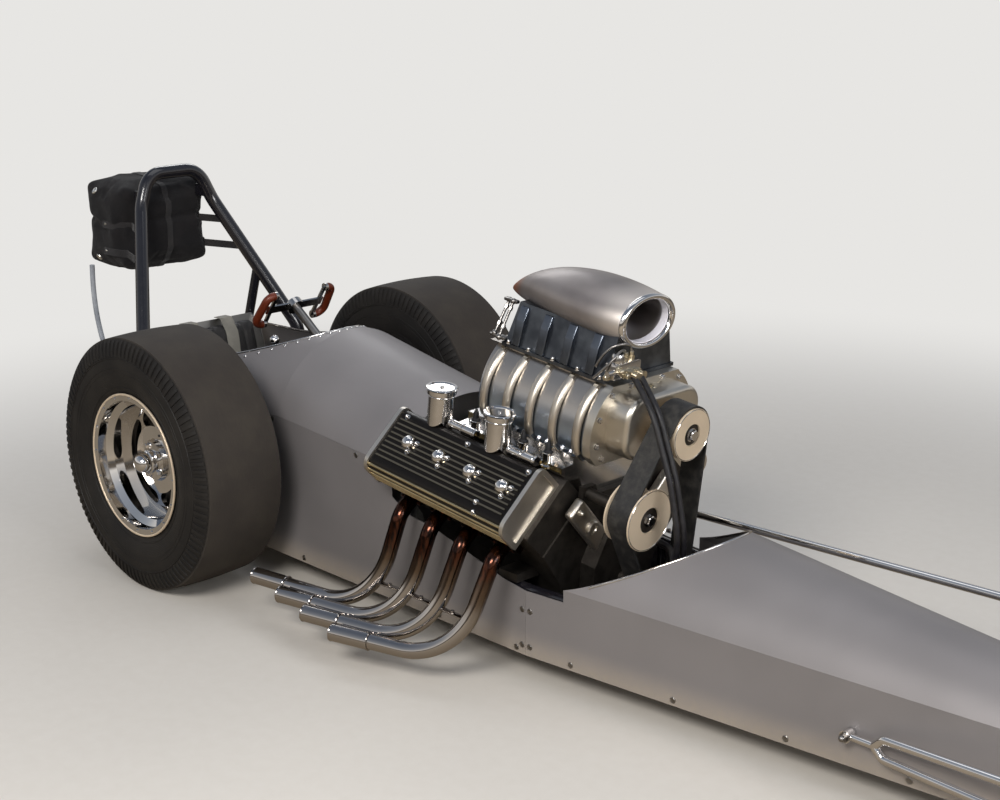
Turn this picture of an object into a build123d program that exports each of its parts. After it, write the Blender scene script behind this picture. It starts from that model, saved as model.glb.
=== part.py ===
from build123d import *
import math
import os

# Front-engined dragster of the 1960s: tube frame, supercharged V8 ahead of the driver,
# wide slicks at the back and wire wheels on a dropped tube axle in front.
# Millimetres. +X is forward, +Y is the driver's left, +Z is up, and the ground is Z = 0.
# Every X below is measured from the rear axle. At the end the whole car is moved along X
# so that the origin lies on the ground under the middle of its length.

# Wheels and wheelbase
WHEELBASE = 3150
REAR_TYRE_R = 395
REAR_TYRE_Y = 518            # middle of the slick
REAR_TREAD_HALF = 126
REAR_BULGE_HALF = 146
REAR_BEAD_R = 205
RIM_HALF = 134
RIM_FLANGE_R = 221
RIM_WELL_R = 185
RIM_WALL = 6
WINDOW_COUNT = 5
FRONT_TYRE_R = 285
FRONT_TYRE_Y = 560
FRONT_TYRE_HALF = 40
FRONT_RIM_R = 222
SPOKE_COUNT = 20
SPOKE_R = 2.2
RUNNING_GAP = 0.3            # between a shaft and its bore, or two faces that turn on each other

# Frame tubes
RAIL_R = 16
RAIL_INSET = 29              # rail centre inside the skin
LOWER_RAIL_Z = 104.5
TAIL_X = -600
TUBE_R = 12
HOOP_R = 22.5
HOOP_GAP = 6.5                # between the skin and the hoop's legs

# Skin
SHEET = 2
FLOOR_Z = 85
BODY_HALF = 292
SEAM_X = 1310                # side panels end, nose begins
NOSE_TIP_X = WHEELBASE - 52     # clear of the front axle
NOSE_END_X = NOSE_TIP_X - 78
NOSE_END_HALF = 115
FIT_GAP = 0.5                # between two sheets
COWL_END_X = 775
FIREWALL_X = 752
RIM_IN = 52                   # cockpit rim, inside the skin's side
HOOP_Y = BODY_HALF + HOOP_GAP + HOOP_R

# Engine, in its own frame: X along the crankshaft from the back of the block, Z up the block
ENGINE_X = 800
ENGINE_Z = 312               # crankshaft height at the back of the block
ENGINE_TILT = 6              # nose down, degrees
BORE_PITCH = 121.9
BLOCK_LENGTH = 545
DECK = 272                   # crankshaft to deck along a bank
HEAD_TOP = 365               # crankshaft to the top of a head along a bank
COVER_TOP = 455
HEAD_OUT = 110               # bank's middle to the exhaust face
HEAD_IN = 85
FIRST_PLUG_X = 82
COVER_MID = 42               # valve cover's middle, outboard of the bank's middle
COVER_WIDTH = 200
COVER_BACK = -12
COVER_FRONT = 512
PIPE_R = 22
BLOWER_BACK = 194
BLOWER_FRONT = 579
BLOWER_Z0 = 372
BLOWER_Z1 = 582.5
PULLEY_Z = 477.5
PULLEY_R = 70
PULLEY_BACK = 694
PULLEY_FRONT = 774
BELT_THICK = 6
CRANK_PULLEY_R = 60
IDLER_Y = -135               # the idler bows the belt out to the car's right
IDLER_Z = 272
FRONT_COVER = 52              # timing cover, ahead of the block
PUMP_LENGTH = 74

# Axles and steering
AXLE_TUBE_R = 38
FRONT_AXLE_R = 25
KINGPIN_Y = 475
FRONT_DROP_Z = 215           # height of the front axle's middle
KINGPIN_R = 10
STUB_R = 12
TIE_ROD_X = 115              # ahead of the front axle
LINK_ARM_IN = 135            # inboard reach of the left steering arm
LINK_R = 11
WHEEL_HUB = Vector(-20, 0, 776)
COLUMN_TILT = 35             # column above the horizontal, degrees
PITMAN_X = 380
PITMAN_Z = 501

SHIFT_X = -(WHEELBASE + FRONT_TYRE_R - 1005) / 2
PACK_BACK_X = -1005
PACK_FRONT_X = -722
PACK_FLOOR_Z = 800


def box(x0, x1, y0, y1, z0, z1):
    """Block given by its two corners."""
    return Pos((x0 + x1) / 2, (y0 + y1) / 2, (z0 + z1) / 2) * Box(x1 - x0, y1 - y0, z1 - z0)


def rod(start, end, radius):
    """Round bar from one point to another."""
    start, end = Vector(*start), Vector(*end)
    return Solid.make_cylinder(radius, (end - start).length, Plane(start, z_dir=end - start))


def tube(points, radius, bends):
    """Round tube along straight runs joined by bends of the given radii."""
    path = FilletPolyline(*points, radius=bends)
    return sweep(Plane(path @ 0, z_dir=path % 0) * Circle(radius), path)


def welded_bars(points, radius):
    """Straight bars end to end, with a ball in each joint."""
    bars = [rod(a, b, radius) for a, b in zip(points[:-1], points[1:])]
    balls = [Pos(*p) * Sphere(radius) for p in points[1:-1]]
    return bars[0].fuse(*bars[1:], *balls)


def plate_xz(outline, y0, y1):
    """Plate with an outline in X and Z, from y0 to y1."""
    face = make_face(Polyline(*[(x, y0, z) for x, z in outline], close=True))
    return extrude(face, amount=y1 - y0, dir=(0, 1, 0))


def plate_yz(outline, x0, x1):
    """Plate with an outline in Y and Z, from x0 to x1."""
    face = make_face(Polyline(*[(x0, y, z) for y, z in outline], close=True))
    return extrude(face, amount=x1 - x0, dir=(1, 0, 0))


def lathe(outline, x, z):
    """Turned piece on a cross-car axis through x, z. The outline is (radius, y) pairs."""
    face = make_face(Polyline(*[(r, y) for r, y in outline], close=True))
    return Pos(x, 0, z) * revolve(face, Axis.Y)


def both_sides(shape):
    """The piece and its mirror image across the car's middle."""
    return [shape, mirror(shape, about=Plane.XZ)]


def left_of(shape):
    return mirror(shape, about=Plane.XZ)


def engine_place(shape):
    """From the engine's frame to the car's."""
    return Location((ENGINE_X, 0, ENGINE_Z), (0, ENGINE_TILT, 0)) * shape


def engine_point(x, y, z):
    """A point given in the engine's frame."""
    a = math.radians(ENGINE_TILT)
    return Vector(ENGINE_X + x * math.cos(a) + z * math.sin(a), y,
                  ENGINE_Z - x * math.sin(a) + z * math.cos(a))


def bank_place(shape):
    """From a bank's frame to the engine's, right-hand bank. There X is along the crankshaft,
    Z is up the bank from the crankshaft and -Y is outboard across the bank."""
    return Location((0, 0, 0), (45, 0, 0)) * shape


def body_half(x):
    """Half width of the skin at x."""
    if x <= SEAM_X:
        return BODY_HALF
    return BODY_HALF - (x - SEAM_X) * (BODY_HALF - NOSE_END_HALF) / (NOSE_END_X - SEAM_X)


def arch_face(x, half, floor, crease, top):
    """Body section: upright sides to the crease, one arc over the top."""
    return make_face([
        Line((x, -half, floor), (x, half, floor)),
        Line((x, half, floor), (x, half, crease)),
        ThreePointArc((x, half, crease), (x, 0, top), (x, -half, crease)),
        Line((x, -half, crease), (x, -half, floor)),
    ])


def arch_shell(stations):
    """Skin over a row of stations (x, half, floor, crease, top), open below."""
    outer = loft([arch_face(x, half, floor, crease, top)
                  for x, half, floor, crease, top in stations], ruled=True)
    ends = {stations[0][0]: -1, stations[-1][0]: 1}
    inner = loft([arch_face(x + ends.get(x, 0), half - SHEET, floor - 1, crease, top - SHEET)
                  for x, half, floor, crease, top in stations], ruled=True)
    return outer, inner


# Frame: where tubes cross from side to side or stand between the rails
REAR_TUBE_X = TAIL_X + 30
FOOT_TUBE_X = 560
BAY_TUBE_X = 1640
MIDDLE_TUBE_X = 1900
PIN_TUBE_X = WHEELBASE - 700
FRONT_TUBE_X = NOSE_END_X - 20
UPPER_RAIL_Z = 470              # beside the driver
DROPPED_RAIL_Z = 262            # beside the engine
DROP_END_X = 740


def rail_y(x):
    return body_half(x) - RAIL_INSET


def make_lower_frame():
    rail = [(x, rail_y(x), LOWER_RAIL_Z) for x in (TAIL_X + 26, SEAM_X, NOSE_END_X - 10)]
    tubes = both_sides(welded_bars(rail, RAIL_R))
    for x in (REAR_TUBE_X, FOOT_TUBE_X, BAY_TUBE_X, MIDDLE_TUBE_X, PIN_TUBE_X, FRONT_TUBE_X):
        tubes.append(rod((x, -rail_y(x), LOWER_RAIL_Z), (x, rail_y(x), LOWER_RAIL_Z), TUBE_R))
    return tubes[0].fuse(*tubes[1:])


def upper_rail_z(x):
    """Height of the upper rail, which drops beside the engine."""
    points = [(TAIL_X + 26, UPPER_RAIL_Z), (FOOT_TUBE_X, UPPER_RAIL_Z), (DROP_END_X, DROPPED_RAIL_Z),
              (SEAM_X, DROPPED_RAIL_Z), (NOSE_END_X - 10, DROPPED_RAIL_Z - 17)]
    for (x0, z0), (x1, z1) in zip(points[:-1], points[1:]):
        if x <= x1:
            return z0 + (z1 - z0) * (x - x0) / (x1 - x0)
    return points[-1][1]


def make_upper_frame():
    stations = (TAIL_X + 26, FOOT_TUBE_X, DROP_END_X, SEAM_X, NOSE_END_X - 10)
    rail = [(x, rail_y(x), upper_rail_z(x)) for x in stations]
    tubes = both_sides(welded_bars(rail, RAIL_R))
    foot = LOWER_RAIL_Z + RAIL_R + RUNNING_GAP
    for x in (REAR_TUBE_X, -190, 190, FOOT_TUBE_X, SEAM_X, MIDDLE_TUBE_X, PIN_TUBE_X, FRONT_TUBE_X):
        tubes += both_sides(rod((x, rail_y(x), foot), (x, rail_y(x), upper_rail_z(x)), TUBE_R))
    frame = tubes[0].fuse(*tubes[1:])
    crosses = []
    for x in (REAR_TUBE_X, PIN_TUBE_X, FRONT_TUBE_X):
        z = upper_rail_z(x)
        crosses.append(rod((x, -rail_y(x), z), (x, rail_y(x), z), TUBE_R))
    return frame.fuse(*crosses)


def hoop_brace(grow):
    return rod((-545, 84 - HOOP_Y, 805), (TAIL_X - 65, 122 - BODY_HALF, 180), TUBE_R + 4 + grow)


def make_roll_hoop():
    foot = (-430, HOOP_Y, 88)
    shoulder = (-430, HOOP_Y, 590)
    bend = (-671, 145, 1039)
    top = (-688, 100, 1146.5)
    right = [foot, shoulder, bend, top]
    points = [(x, -y, z) for x, y, z in right] + [(x, y, z) for x, y, z in reversed(right)]
    hoop = tube(points, HOOP_R, [120, 140, 78, 78, 140, 120])
    pieces = [hoop]
    pieces += both_sides(hoop_brace(0))
    pieces += both_sides(box(-470, -390, -HOOP_Y - 22, -BODY_HALF + 52, 74.7, FLOOR_Z - RUNNING_GAP))
    pieces += both_sides(rod((-430, -HOOP_Y, 82), (-430, -HOOP_Y, 92), HOOP_R))
    pieces.append(rod((TAIL_X - 65, 92 - BODY_HALF, 180), (TAIL_X - 65, BODY_HALF - 92, 180), TUBE_R + 4))
    # lugs on the tail panel
    pieces += both_sides(box(TAIL_X - 70, TAIL_X - RUNNING_GAP, 106 - BODY_HALF, 118 - BODY_HALF, 168, 192))
    # tabs that carry the parachute pack
    pieces += both_sides(box(PACK_FRONT_X + RUNNING_GAP, -672, -138, -112, 1050, 1090))
    return pieces[0].fuse(*pieces[1:])


# Skin
def make_belly_pan():
    corners = [(TAIL_X, BODY_HALF - SHEET - FIT_GAP), (SEAM_X, BODY_HALF - SHEET - FIT_GAP),
               (NOSE_END_X, NOSE_END_HALF - SHEET - FIT_GAP)]
    outline = [(x, -y) for x, y in corners] + [(x, y) for x, y in reversed(corners)]
    face = make_face(Polyline(*[(x, y, FLOOR_Z) for x, y in outline], close=True))
    return extrude(face, amount=SHEET, dir=(0, 0, 1))


def make_side_panels():
    outline = [(TAIL_X, FLOOR_Z), (SEAM_X - FIT_GAP, FLOOR_Z), (SEAM_X - FIT_GAP, 270),
               (1220, 282), (1060, 325), (950, 352), (840, 365), (COWL_END_X, 400),
               (COWL_END_X, 490), (250, 530), (TAIL_X, 500)]
    right = plate_xz(outline, -BODY_HALF, -BODY_HALF + SHEET)
    right -= rod((0, -BODY_HALF - 5, REAR_TYRE_R), (0, -200, REAR_TYRE_R), AXLE_TUBE_R + 4)
    left = left_of(right)
    left -= rod((PITMAN_X, 200, PITMAN_Z), (PITMAN_X, BODY_HALF + 5, PITMAN_Z), STUB_R + 4)
    return Compound([right, left])


def make_cowl():
    outer, inner = arch_shell([(TAIL_X, BODY_HALF, 499, 500, 720), (250, BODY_HALF, 529, 530, 752),
                               (COWL_END_X, BODY_HALF, 489, 490, 648)])
    shell = outer - inner
    # under the crease the side panels carry on
    under = plate_xz([(TAIL_X - 5, 300), (COWL_END_X + 5, 300), (COWL_END_X + 5, 490 + FIT_GAP),
                      (250, 530 + FIT_GAP), (TAIL_X - 5, 500 + FIT_GAP)], -400, 400)
    rim = BODY_HALF - RIM_IN
    mouth = Pos(-350, 0, 300) * extrude(Ellipse(580, rim), amount=600, dir=(0, 0, 1))
    back = box(TAIL_X - 10, -350, -rim, rim, 300, 900)
    return shell - under - mouth - back


def make_nose_shell():
    outer, inner = arch_shell([(SEAM_X, BODY_HALF, FLOOR_Z, 305, 508),
                               (NOSE_END_X, NOSE_END_HALF, FLOOR_Z, 292, 349),
                               (NOSE_TIP_X, 84, 140, 255, 312)])
    # the front of the nose is closed
    keep = box(NOSE_TIP_X - SHEET, NOSE_TIP_X + 5, -300, 300, 0, 500)
    engine_bay = Pos(ENGINE_X + 440, 0, 270) * extrude(Ellipse(530, 300), amount=400, dir=(0, 0, 1))
    return outer - (inner - keep) - engine_bay


def make_tail_panel():
    half = BODY_HALF - SHEET - FIT_GAP
    panel = box(TAIL_X, TAIL_X + SHEET, -half, half, FLOOR_Z + SHEET + FIT_GAP, 499)
    for brace in both_sides(hoop_brace(4)):
        panel -= brace
    return panel


def make_firewall():
    half = BODY_HALF - SHEET - FIT_GAP
    face = arch_face(FIREWALL_X, half, FLOOR_Z + SHEET + FIT_GAP, 489, 648)
    plate = extrude(face, amount=SHEET, dir=(1, 0, 0))
    plate -= engine_place(rod((-90, 0, 0), (10, 0, 0), 205))
    # notches for the rails
    edge = rail_y(FIREWALL_X) - RAIL_R - 2
    for z0, z1 in ((FLOOR_Z, LOWER_RAIL_Z + RAIL_R + 2), (230, 290)):
        for notch in both_sides(box(FIREWALL_X - 5, FIREWALL_X + 5, -half - 5, -edge, z0, z1)):
            plate -= notch
    return plate


# Cockpit
SEAT_Z = 158


def seat_back_x(z):
    """Front face of the seat shell's back at height z."""
    return -432 - (z - SEAT_Z - 4) * 119 / 479


def make_seat_shell():
    base_z = SEAT_Z
    outline = [(-185, base_z), (-435, base_z), (-555, 640), (seat_back_x(641), 641),
               (seat_back_x(base_z + 4), base_z + 4), (-185, base_z + 4)]
    shell = plate_xz(outline, -205, 205)
    wing_outline = [(-185, base_z), (-435, base_z), (-555, 640), (-500, 600), (-410, 300),
                    (-280, 240), (-185, 200)]
    wings = both_sides(plate_xz(wing_outline, -208, -205))
    risers = []
    for x in (-410, -220):
        risers.append(box(x - 10, x + 10, -150, 150, FLOOR_Z + SHEET, base_z))
    return shell.fuse(*wings, *risers)


def make_seat_cushion():
    base = box(seat_back_x(SEAT_Z) + 1, -195, -195, 195, SEAT_Z + 4 + RUNNING_GAP, 215)
    base = fillet(base.edges().filter_by(Axis.Z), 20)
    back_face = [(seat_back_x(215.3) + 0.4, 215.3), (seat_back_x(640) + 0.4, 640), (-480, 640),
                 (-372, 215.3)]
    back = plate_xz(back_face, -190, 190)
    back = fillet(back.edges().filter_by(Axis.Y), 12)
    return Compound([base, back])


def column_line():
    """Unit vector up the steering column, towards the driver."""
    a = math.radians(COLUMN_TILT)
    return Vector(-math.cos(a), 0, math.sin(a))


def make_steering_column():
    column = rod(WHEEL_HUB - column_line() * 455, WHEEL_HUB - column_line() * RUNNING_GAP, 14)
    case = box(PITMAN_X - 45, PITMAN_X + 45, -45, 45, PITMAN_Z - 45, PITMAN_Z + 45)
    case = fillet(case.edges(), 8)
    reach = rail_y(PITMAN_X) - RAIL_R - RUNNING_GAP
    carrier = rod((PITMAN_X, -reach, 470), (PITMAN_X, 0, 470), TUBE_R)
    return case.fuse(column, carrier)


def make_brake_lever():
    y = (RIM_IN - BODY_HALF) * 0.625
    lever = tube([(120, y, 300), (110, y, 500), (60, y, 700)], 8, [200])
    knob = Pos(58, y, 708) * Sphere(16)
    foot = box(100, 140, y - 20, y + 20, FLOOR_Z + SHEET, 302)
    return lever.fuse(knob, foot)


def make_steering_wheel():
    # two upright grips on a flat cross bar, turning about the column
    place = Plane(WHEEL_HUB, x_dir=(0, 1, 0), z_dir=column_line())
    hub = Solid.make_cylinder(28, 22)
    bar = Pos(0, 0, 11) * Box(220, 30, 6)
    pieces = [hub, bar]
    for side in (-1, 1):
        path = FilletPolyline((side * 95, -62, 11), (side * 128, -62, 11), (side * 140, 62, 11),
                              (side * 95, 62, 11), radius=[26, 30])
        pieces.append(sweep(Plane(path @ 0, z_dir=path % 0) * Circle(13), path))
        pieces.append(Pos(side * 95, 0, 11) * Box(14, 128, 6))
    return place.location * pieces[0].fuse(*pieces[1:])


# Rear axle and wheels
def make_rear_axle():
    z = REAR_TYRE_R
    middle = lathe([(0, -92), (88, -92), (128, -48), (128, 48), (88, 92), (0, 92)], 0, z)
    cover = Solid.make_cylinder(88, 60, Plane((95, 0, z), z_dir=(1, 0, 0)))
    tubes = rod((0, -358, z), (0, 358, z), AXLE_TUBE_R)
    pieces = [middle, cover, tubes]
    pieces += both_sides(lathe([(0, -366), (140, -366), (140, -358), (0, -358)], 0, z))
    # brackets that hold the tubes to the upper and lower rails
    pieces += both_sides(box(-30, 30, -BODY_HALF + 24, -BODY_HALF + 37,
                             LOWER_RAIL_Z + RAIL_R + RUNNING_GAP, UPPER_RAIL_Z - RAIL_R - 1))
    housing = pieces[0].fuse(*pieces[1:])
    bore = rod((0, -380, z), (0, 380, z), 20 + RUNNING_GAP)
    return housing - bore


def make_rear_wheel():
    """Right-hand wheel: barrel, dished centre with windows, hub and stub axle."""
    y = -REAR_TYRE_Y
    z = REAR_TYRE_R
    outside = [(RIM_FLANGE_R, 134), (RIM_FLANGE_R, 129), (205, 127), (204, 100), (RIM_WELL_R, 85),
               (RIM_WELL_R, -85), (204, -100), (205, -127), (RIM_FLANGE_R, -129),
               (RIM_FLANGE_R, -134)]
    inside = [(214, -134), (199, -131), (197, -104), (RIM_WELL_R - RIM_WALL, -88),
              (RIM_WELL_R - RIM_WALL, 88), (197, 104), (199, 131), (214, 134)]
    barrel = lathe([(r, y - off) for r, off in outside + inside], 0, z)
    disc = [(0, 10), (62, 10), (62, 26), (105, 34), (150, 26), (181, 10), (181, 26), (150, 42),
            (105, 50), (66, 50), (60, 66), (34, 70), (34, 76), (0, 80)]
    centre = lathe([(r, y - off) for r, off in disc], 0, z)
    window = SlotArc(CenterArc((0, 0), 128, -22, 44), 46)
    for i in range(WINDOW_COUNT):
        plane = Plane((0, y - 5, z), x_dir=(1, 0, 0), z_dir=(0, -1, 0))
        cutter = extrude(plane * (Rot(0, 0, 90 + 360 / WINDOW_COUNT * i) * window), amount=60)
        centre -= cutter
    stub = rod((0, y - 10, z), (0, -300, z), 20)
    return barrel.fuse(centre, stub)


def make_rear_drum():
    y = -REAR_TYRE_Y
    z = REAR_TYRE_R
    return lathe([(20.3, y - 9.7), (20.3, y + 2), (148, y + 2), (148, y + 146), (155, y + 146),
                  (155, y - 3), (120, y - 9.7)], 0, z)


def tyre_profile(radius, tread, bulge, bead_r, bead, crown):
    """Half of a tyre's section is given, as radius and half width, and mirrored."""
    mid = (radius + bead_r) / 2 + 8
    edges = [
        ThreePointArc((radius - crown, -tread), (radius, 0), (radius - crown, tread)),
        ThreePointArc((radius - crown, tread), (mid, bulge), (bead_r + 16, bead)),
        Line((bead_r + 16, bead), (bead_r, bead - 4)),
        Line((bead_r, bead - 4), (bead_r, -bead + 4)),
        Line((bead_r, -bead + 4), (bead_r + 16, -bead)),
        ThreePointArc((bead_r + 16, -bead), (mid, -bulge), (radius - crown, -tread)),
    ]
    return make_face(edges)


def make_rear_tyre():
    face = tyre_profile(REAR_TYRE_R, REAR_TREAD_HALF, REAR_BULGE_HALF, REAR_BEAD_R + 0.3, 126.5, 5)
    tyre = revolve(face, Axis.Y)
    return Pos(0, -REAR_TYRE_Y, REAR_TYRE_R) * tyre


# Front axle, steering and wheels
def make_front_axle():
    x = WHEELBASE
    z = FRONT_TYRE_R
    beam = tube([(x, -KINGPIN_Y, z), (x, -360, FRONT_DROP_Z), (x, 360, FRONT_DROP_Z),
                 (x, KINGPIN_Y, z)], FRONT_AXLE_R, [150, 150])
    pieces = [beam]
    for side in (-1, 1):
        pieces.append(rod((x, side * KINGPIN_Y, z - 42), (x, side * KINGPIN_Y, z + 42), 24))
        # plate that takes the two ends of the radius rod
        pieces.append(box(x - 50, x, side * 300 - 5, side * 300 + 5, FRONT_DROP_Z - 62,
                          FRONT_DROP_Z + 62))
    # perch from the frame's front cross tube
    pieces.append(box(NOSE_TIP_X + RUNNING_GAP, x, -30, 30, 190, 240))
    axle = pieces[0].fuse(*pieces[1:])
    for side in (-1, 1):
        axle -= rod((x, side * KINGPIN_Y, z - 60), (x, side * KINGPIN_Y, z + 60),
                    KINGPIN_R + RUNNING_GAP)
    return axle


def make_hairpins():
    """Radius rod: an eye on the body, a fork and two tubes that spread to the axle."""
    x_pin, z_pin = WHEELBASE - 880, 170
    y_pin = -(body_half(x_pin) + 16)
    y_end = -300 + 5 + 12 + RUNNING_GAP
    x_end = WHEELBASE - 36
    fork = (x_pin + 75, y_pin - 5, z_pin + 3)
    pieces = [rod((x_pin, y_pin, z_pin), fork, 9)]
    for dz, z_end in ((1, FRONT_DROP_Z + 46), (-1, FRONT_DROP_Z - 46)):
        pieces.append(tube([fork, (x_pin + 100, y_pin - 7, z_pin + 4 + dz * 24),
                            (x_end, y_end, z_end)], 11, [24]))
        pieces.append(rod((x_end, y_end - 12, z_end), (x_end, y_end + 12, z_end), 14))
    pieces.append(rod((x_pin, y_pin - 12, z_pin), (x_pin, y_pin + 12, z_pin), 15))
    pieces.append(rod((x_pin, y_pin, z_pin), (x_pin, -(body_half(x_pin) + 2), z_pin), 9))
    right = pieces[0].fuse(*pieces[1:])
    return Compound(both_sides(right))


def make_spindle():
    """Right-hand spindle: fork on the kingpin, stub axle and tie rod arm."""
    x, z, y = WHEELBASE, FRONT_TYRE_R, -KINGPIN_Y
    pin = rod((x, y, z - 60), (x, y, z + 60), KINGPIN_R)
    # the lower ear stops short of the beam that rises to the kingpin
    ears = [box(x - 22, x + 22, y - 40, y + reach, z + dz, z + dz + 16)
            for dz, reach in ((43, 22), (-59, 12))]
    back = box(x - 22, x + 22, y - 52, y - 30, z - 59, z + 59)
    stub = rod((x, y - 50, z), (x, -FRONT_TYRE_Y - 32, z), STUB_R)
    arm = welded_bars([(x + 10, y - 20, z - 51), (x + 60, y - 8, z - 51),
                       (x + TIE_ROD_X, y, z - 51)], 8)
    eye = rod((x + TIE_ROD_X, y, z - 59), (x + TIE_ROD_X, y, z - 43), 14)
    return pin.fuse(*ears, back, stub, arm, eye)


def link_line():
    """The two ends of the drag link: at the pitman arm and at the left spindle's arm."""
    rear = Vector(PITMAN_X, BODY_HALF + 25, 322)
    front = Vector(WHEELBASE, KINGPIN_Y - LINK_ARM_IN, 398)
    return rear, front


def make_left_spindle():
    x, z = WHEELBASE, FRONT_TYRE_R
    front = link_line()[1]
    arm = box(x - 12, x + 12, front.Y, KINGPIN_Y - 5, z + 55, z + 75)
    eye = rod((x, front.Y, z + 55), (x, front.Y, z + 100), 13)
    return left_of(make_spindle()).fuse(arm, eye)


def make_drag_link():
    rear, front = link_line()
    bar = rod(rear + Vector(14, 0, 0), front - Vector(14, 0, 0), LINK_R)
    rear_eye = rod((rear.X, rear.Y - 11.2, rear.Z), (rear.X, rear.Y + 9, rear.Z), 15)
    front_eye = rod((front.X, front.Y, FRONT_TYRE_R + 100.3), (front.X, front.Y, 407), 15)
    return bar.fuse(rear_eye, front_eye)


def make_pitman_arm():
    rear = link_line()[0]
    shaft = rod((PITMAN_X, 45 + RUNNING_GAP, PITMAN_Z), (PITMAN_X, BODY_HALF + 13.5, PITMAN_Z), STUB_R)
    arm_face = [(PITMAN_X - 22, PITMAN_Z + 18), (PITMAN_X + 22, PITMAN_Z + 18),
                (PITMAN_X + 14, rear.Z - 12), (PITMAN_X - 14, rear.Z - 12)]
    arm = plate_xz(arm_face, BODY_HALF + 5.5, BODY_HALF + 13.5)
    return shaft.fuse(arm)


def make_tie_rod():
    x = WHEELBASE + TIE_ROD_X
    z = FRONT_TYRE_R - 34
    bar = rod((x, -KINGPIN_Y + 12, z), (x, KINGPIN_Y - 12, z), 8)
    eyes = [rod((x, s * KINGPIN_Y, z - 8.7), (x, s * KINGPIN_Y, z + 8), 13) for s in (-1, 1)]
    return bar.fuse(*eyes)


def make_front_wheel():
    """Right-hand wire wheel: rim, two-flanged hub and spokes."""
    y, x, z = -FRONT_TYRE_Y, WHEELBASE, FRONT_TYRE_R
    outside = [(11, 25.5), (0, 24.6), (0, 12), (-8, 8), (-8, -8), (0, -12), (0, -24.6), (11, -25.5)]
    inside = [(11, -28), (-3, -27.5), (-12, -9), (-12, 9), (-3, 27.5), (11, 28)]
    rim = [(FRONT_RIM_R + r, off) for r, off in outside + inside]
    pieces = [lathe([(r, y - off) for r, off in rim], x, z)]
    hub = [(STUB_R + RUNNING_GAP, 32), (24, 32), (24, 24), (38, 22), (38, 18), (20, 14), (20, -14),
           (38, -18), (38, -22), (24, -24), (24, -30), (STUB_R + RUNNING_GAP, -30)]
    pieces.append(lathe([(r, y - off) for r, off in hub], x, z))
    for i in range(SPOKE_COUNT):
        side = 1 if i % 2 else -1
        lead = 26 if (i // 2) % 2 else -26
        a = math.radians(360 / SPOKE_COUNT * i)
        b = math.radians(360 / SPOKE_COUNT * i + lead)
        start = (x + 34 * math.cos(b), y + side * 20, z + 34 * math.sin(b))
        reach = FRONT_RIM_R - 10
        end = (x + reach * math.cos(a), y, z + reach * math.sin(a))
        pieces.append(rod(start, end, SPOKE_R))
    return pieces[0].fuse(*pieces[1:])


def make_front_tyre():
    face = tyre_profile(FRONT_TYRE_R, 22, FRONT_TYRE_HALF, FRONT_RIM_R + 0.3, 24, 8)
    return Pos(WHEELBASE, -FRONT_TYRE_Y, FRONT_TYRE_R) * revolve(face, Axis.Y)


# Engine
def make_engine_block():
    s = math.sqrt(0.5)
    inner = ((DECK - HEAD_IN) * s, (DECK + HEAD_IN) * s)
    outer = ((DECK + HEAD_OUT) * s, (DECK - HEAD_OUT) * s)
    half = [inner, outer, (200, 20), (165, -70), (130, -75), (120, -160)]
    outline = half + [(-y, z) for y, z in reversed(half)]
    block = plate_yz(outline, 0, BLOCK_LENGTH)
    cover = [(-115, -75), (115, -75), (120, 60), (60, 190), (-60, 190), (-120, 60)]
    front = plate_yz(cover, BLOCK_LENGTH, BLOCK_LENGTH + FRONT_COVER)
    nose = rod((BLOCK_LENGTH, 0, 0), (PULLEY_FRONT - 40, 0, 0), 24)
    # bracket and spindle of the idler
    arm = plate_yz([(-100, 120), (-60, 180), (IDLER_Y + 23, IDLER_Z + 20),
                    (IDLER_Y - 23, IDLER_Z + 20), (IDLER_Y - 23, IDLER_Z - 22)],
                   BLOCK_LENGTH + 1, BLOCK_LENGTH + 18)
    spindle = rod((BLOCK_LENGTH + 1, IDLER_Y, IDLER_Z), (PULLEY_FRONT - 40, IDLER_Y, IDLER_Z), 16)
    # ears that stand on the upper rails
    ears = both_sides(box(ENGINE_X + 400, ENGINE_X + 470, -BODY_HALF + 7, -150,
                          DROPPED_RAIL_Z + RAIL_R + RUNNING_GAP, DROPPED_RAIL_Z + 40))
    return engine_place(block.fuse(front, nose, arm, spindle)).fuse(*ears)


def make_bellhousing():
    bell = revolve(make_face(Polyline((0, 0), (0, 195), (-30, 195), (-190, 110), (-230, 110),
                                      (-230, 0), close=True)), Axis.X)
    return engine_place(Pos(-RUNNING_GAP, 0, 0) * bell)


def make_cylinder_heads():
    head = box(6, BLOCK_LENGTH - 6, -HEAD_OUT, HEAD_IN, DECK + RUNNING_GAP, HEAD_TOP)
    ports = [Pos(FIRST_PLUG_X + BORE_PITCH * i, -HEAD_OUT, 320) * Box(76, 12, 62) for i in range(4)]
    head = head.fuse(*ports)
    head = fillet(head.edges().filter_by(Axis.X).sort_by(Axis.Z)[-2:], 8)
    return Compound(both_sides(engine_place(bank_place(head))))


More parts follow.
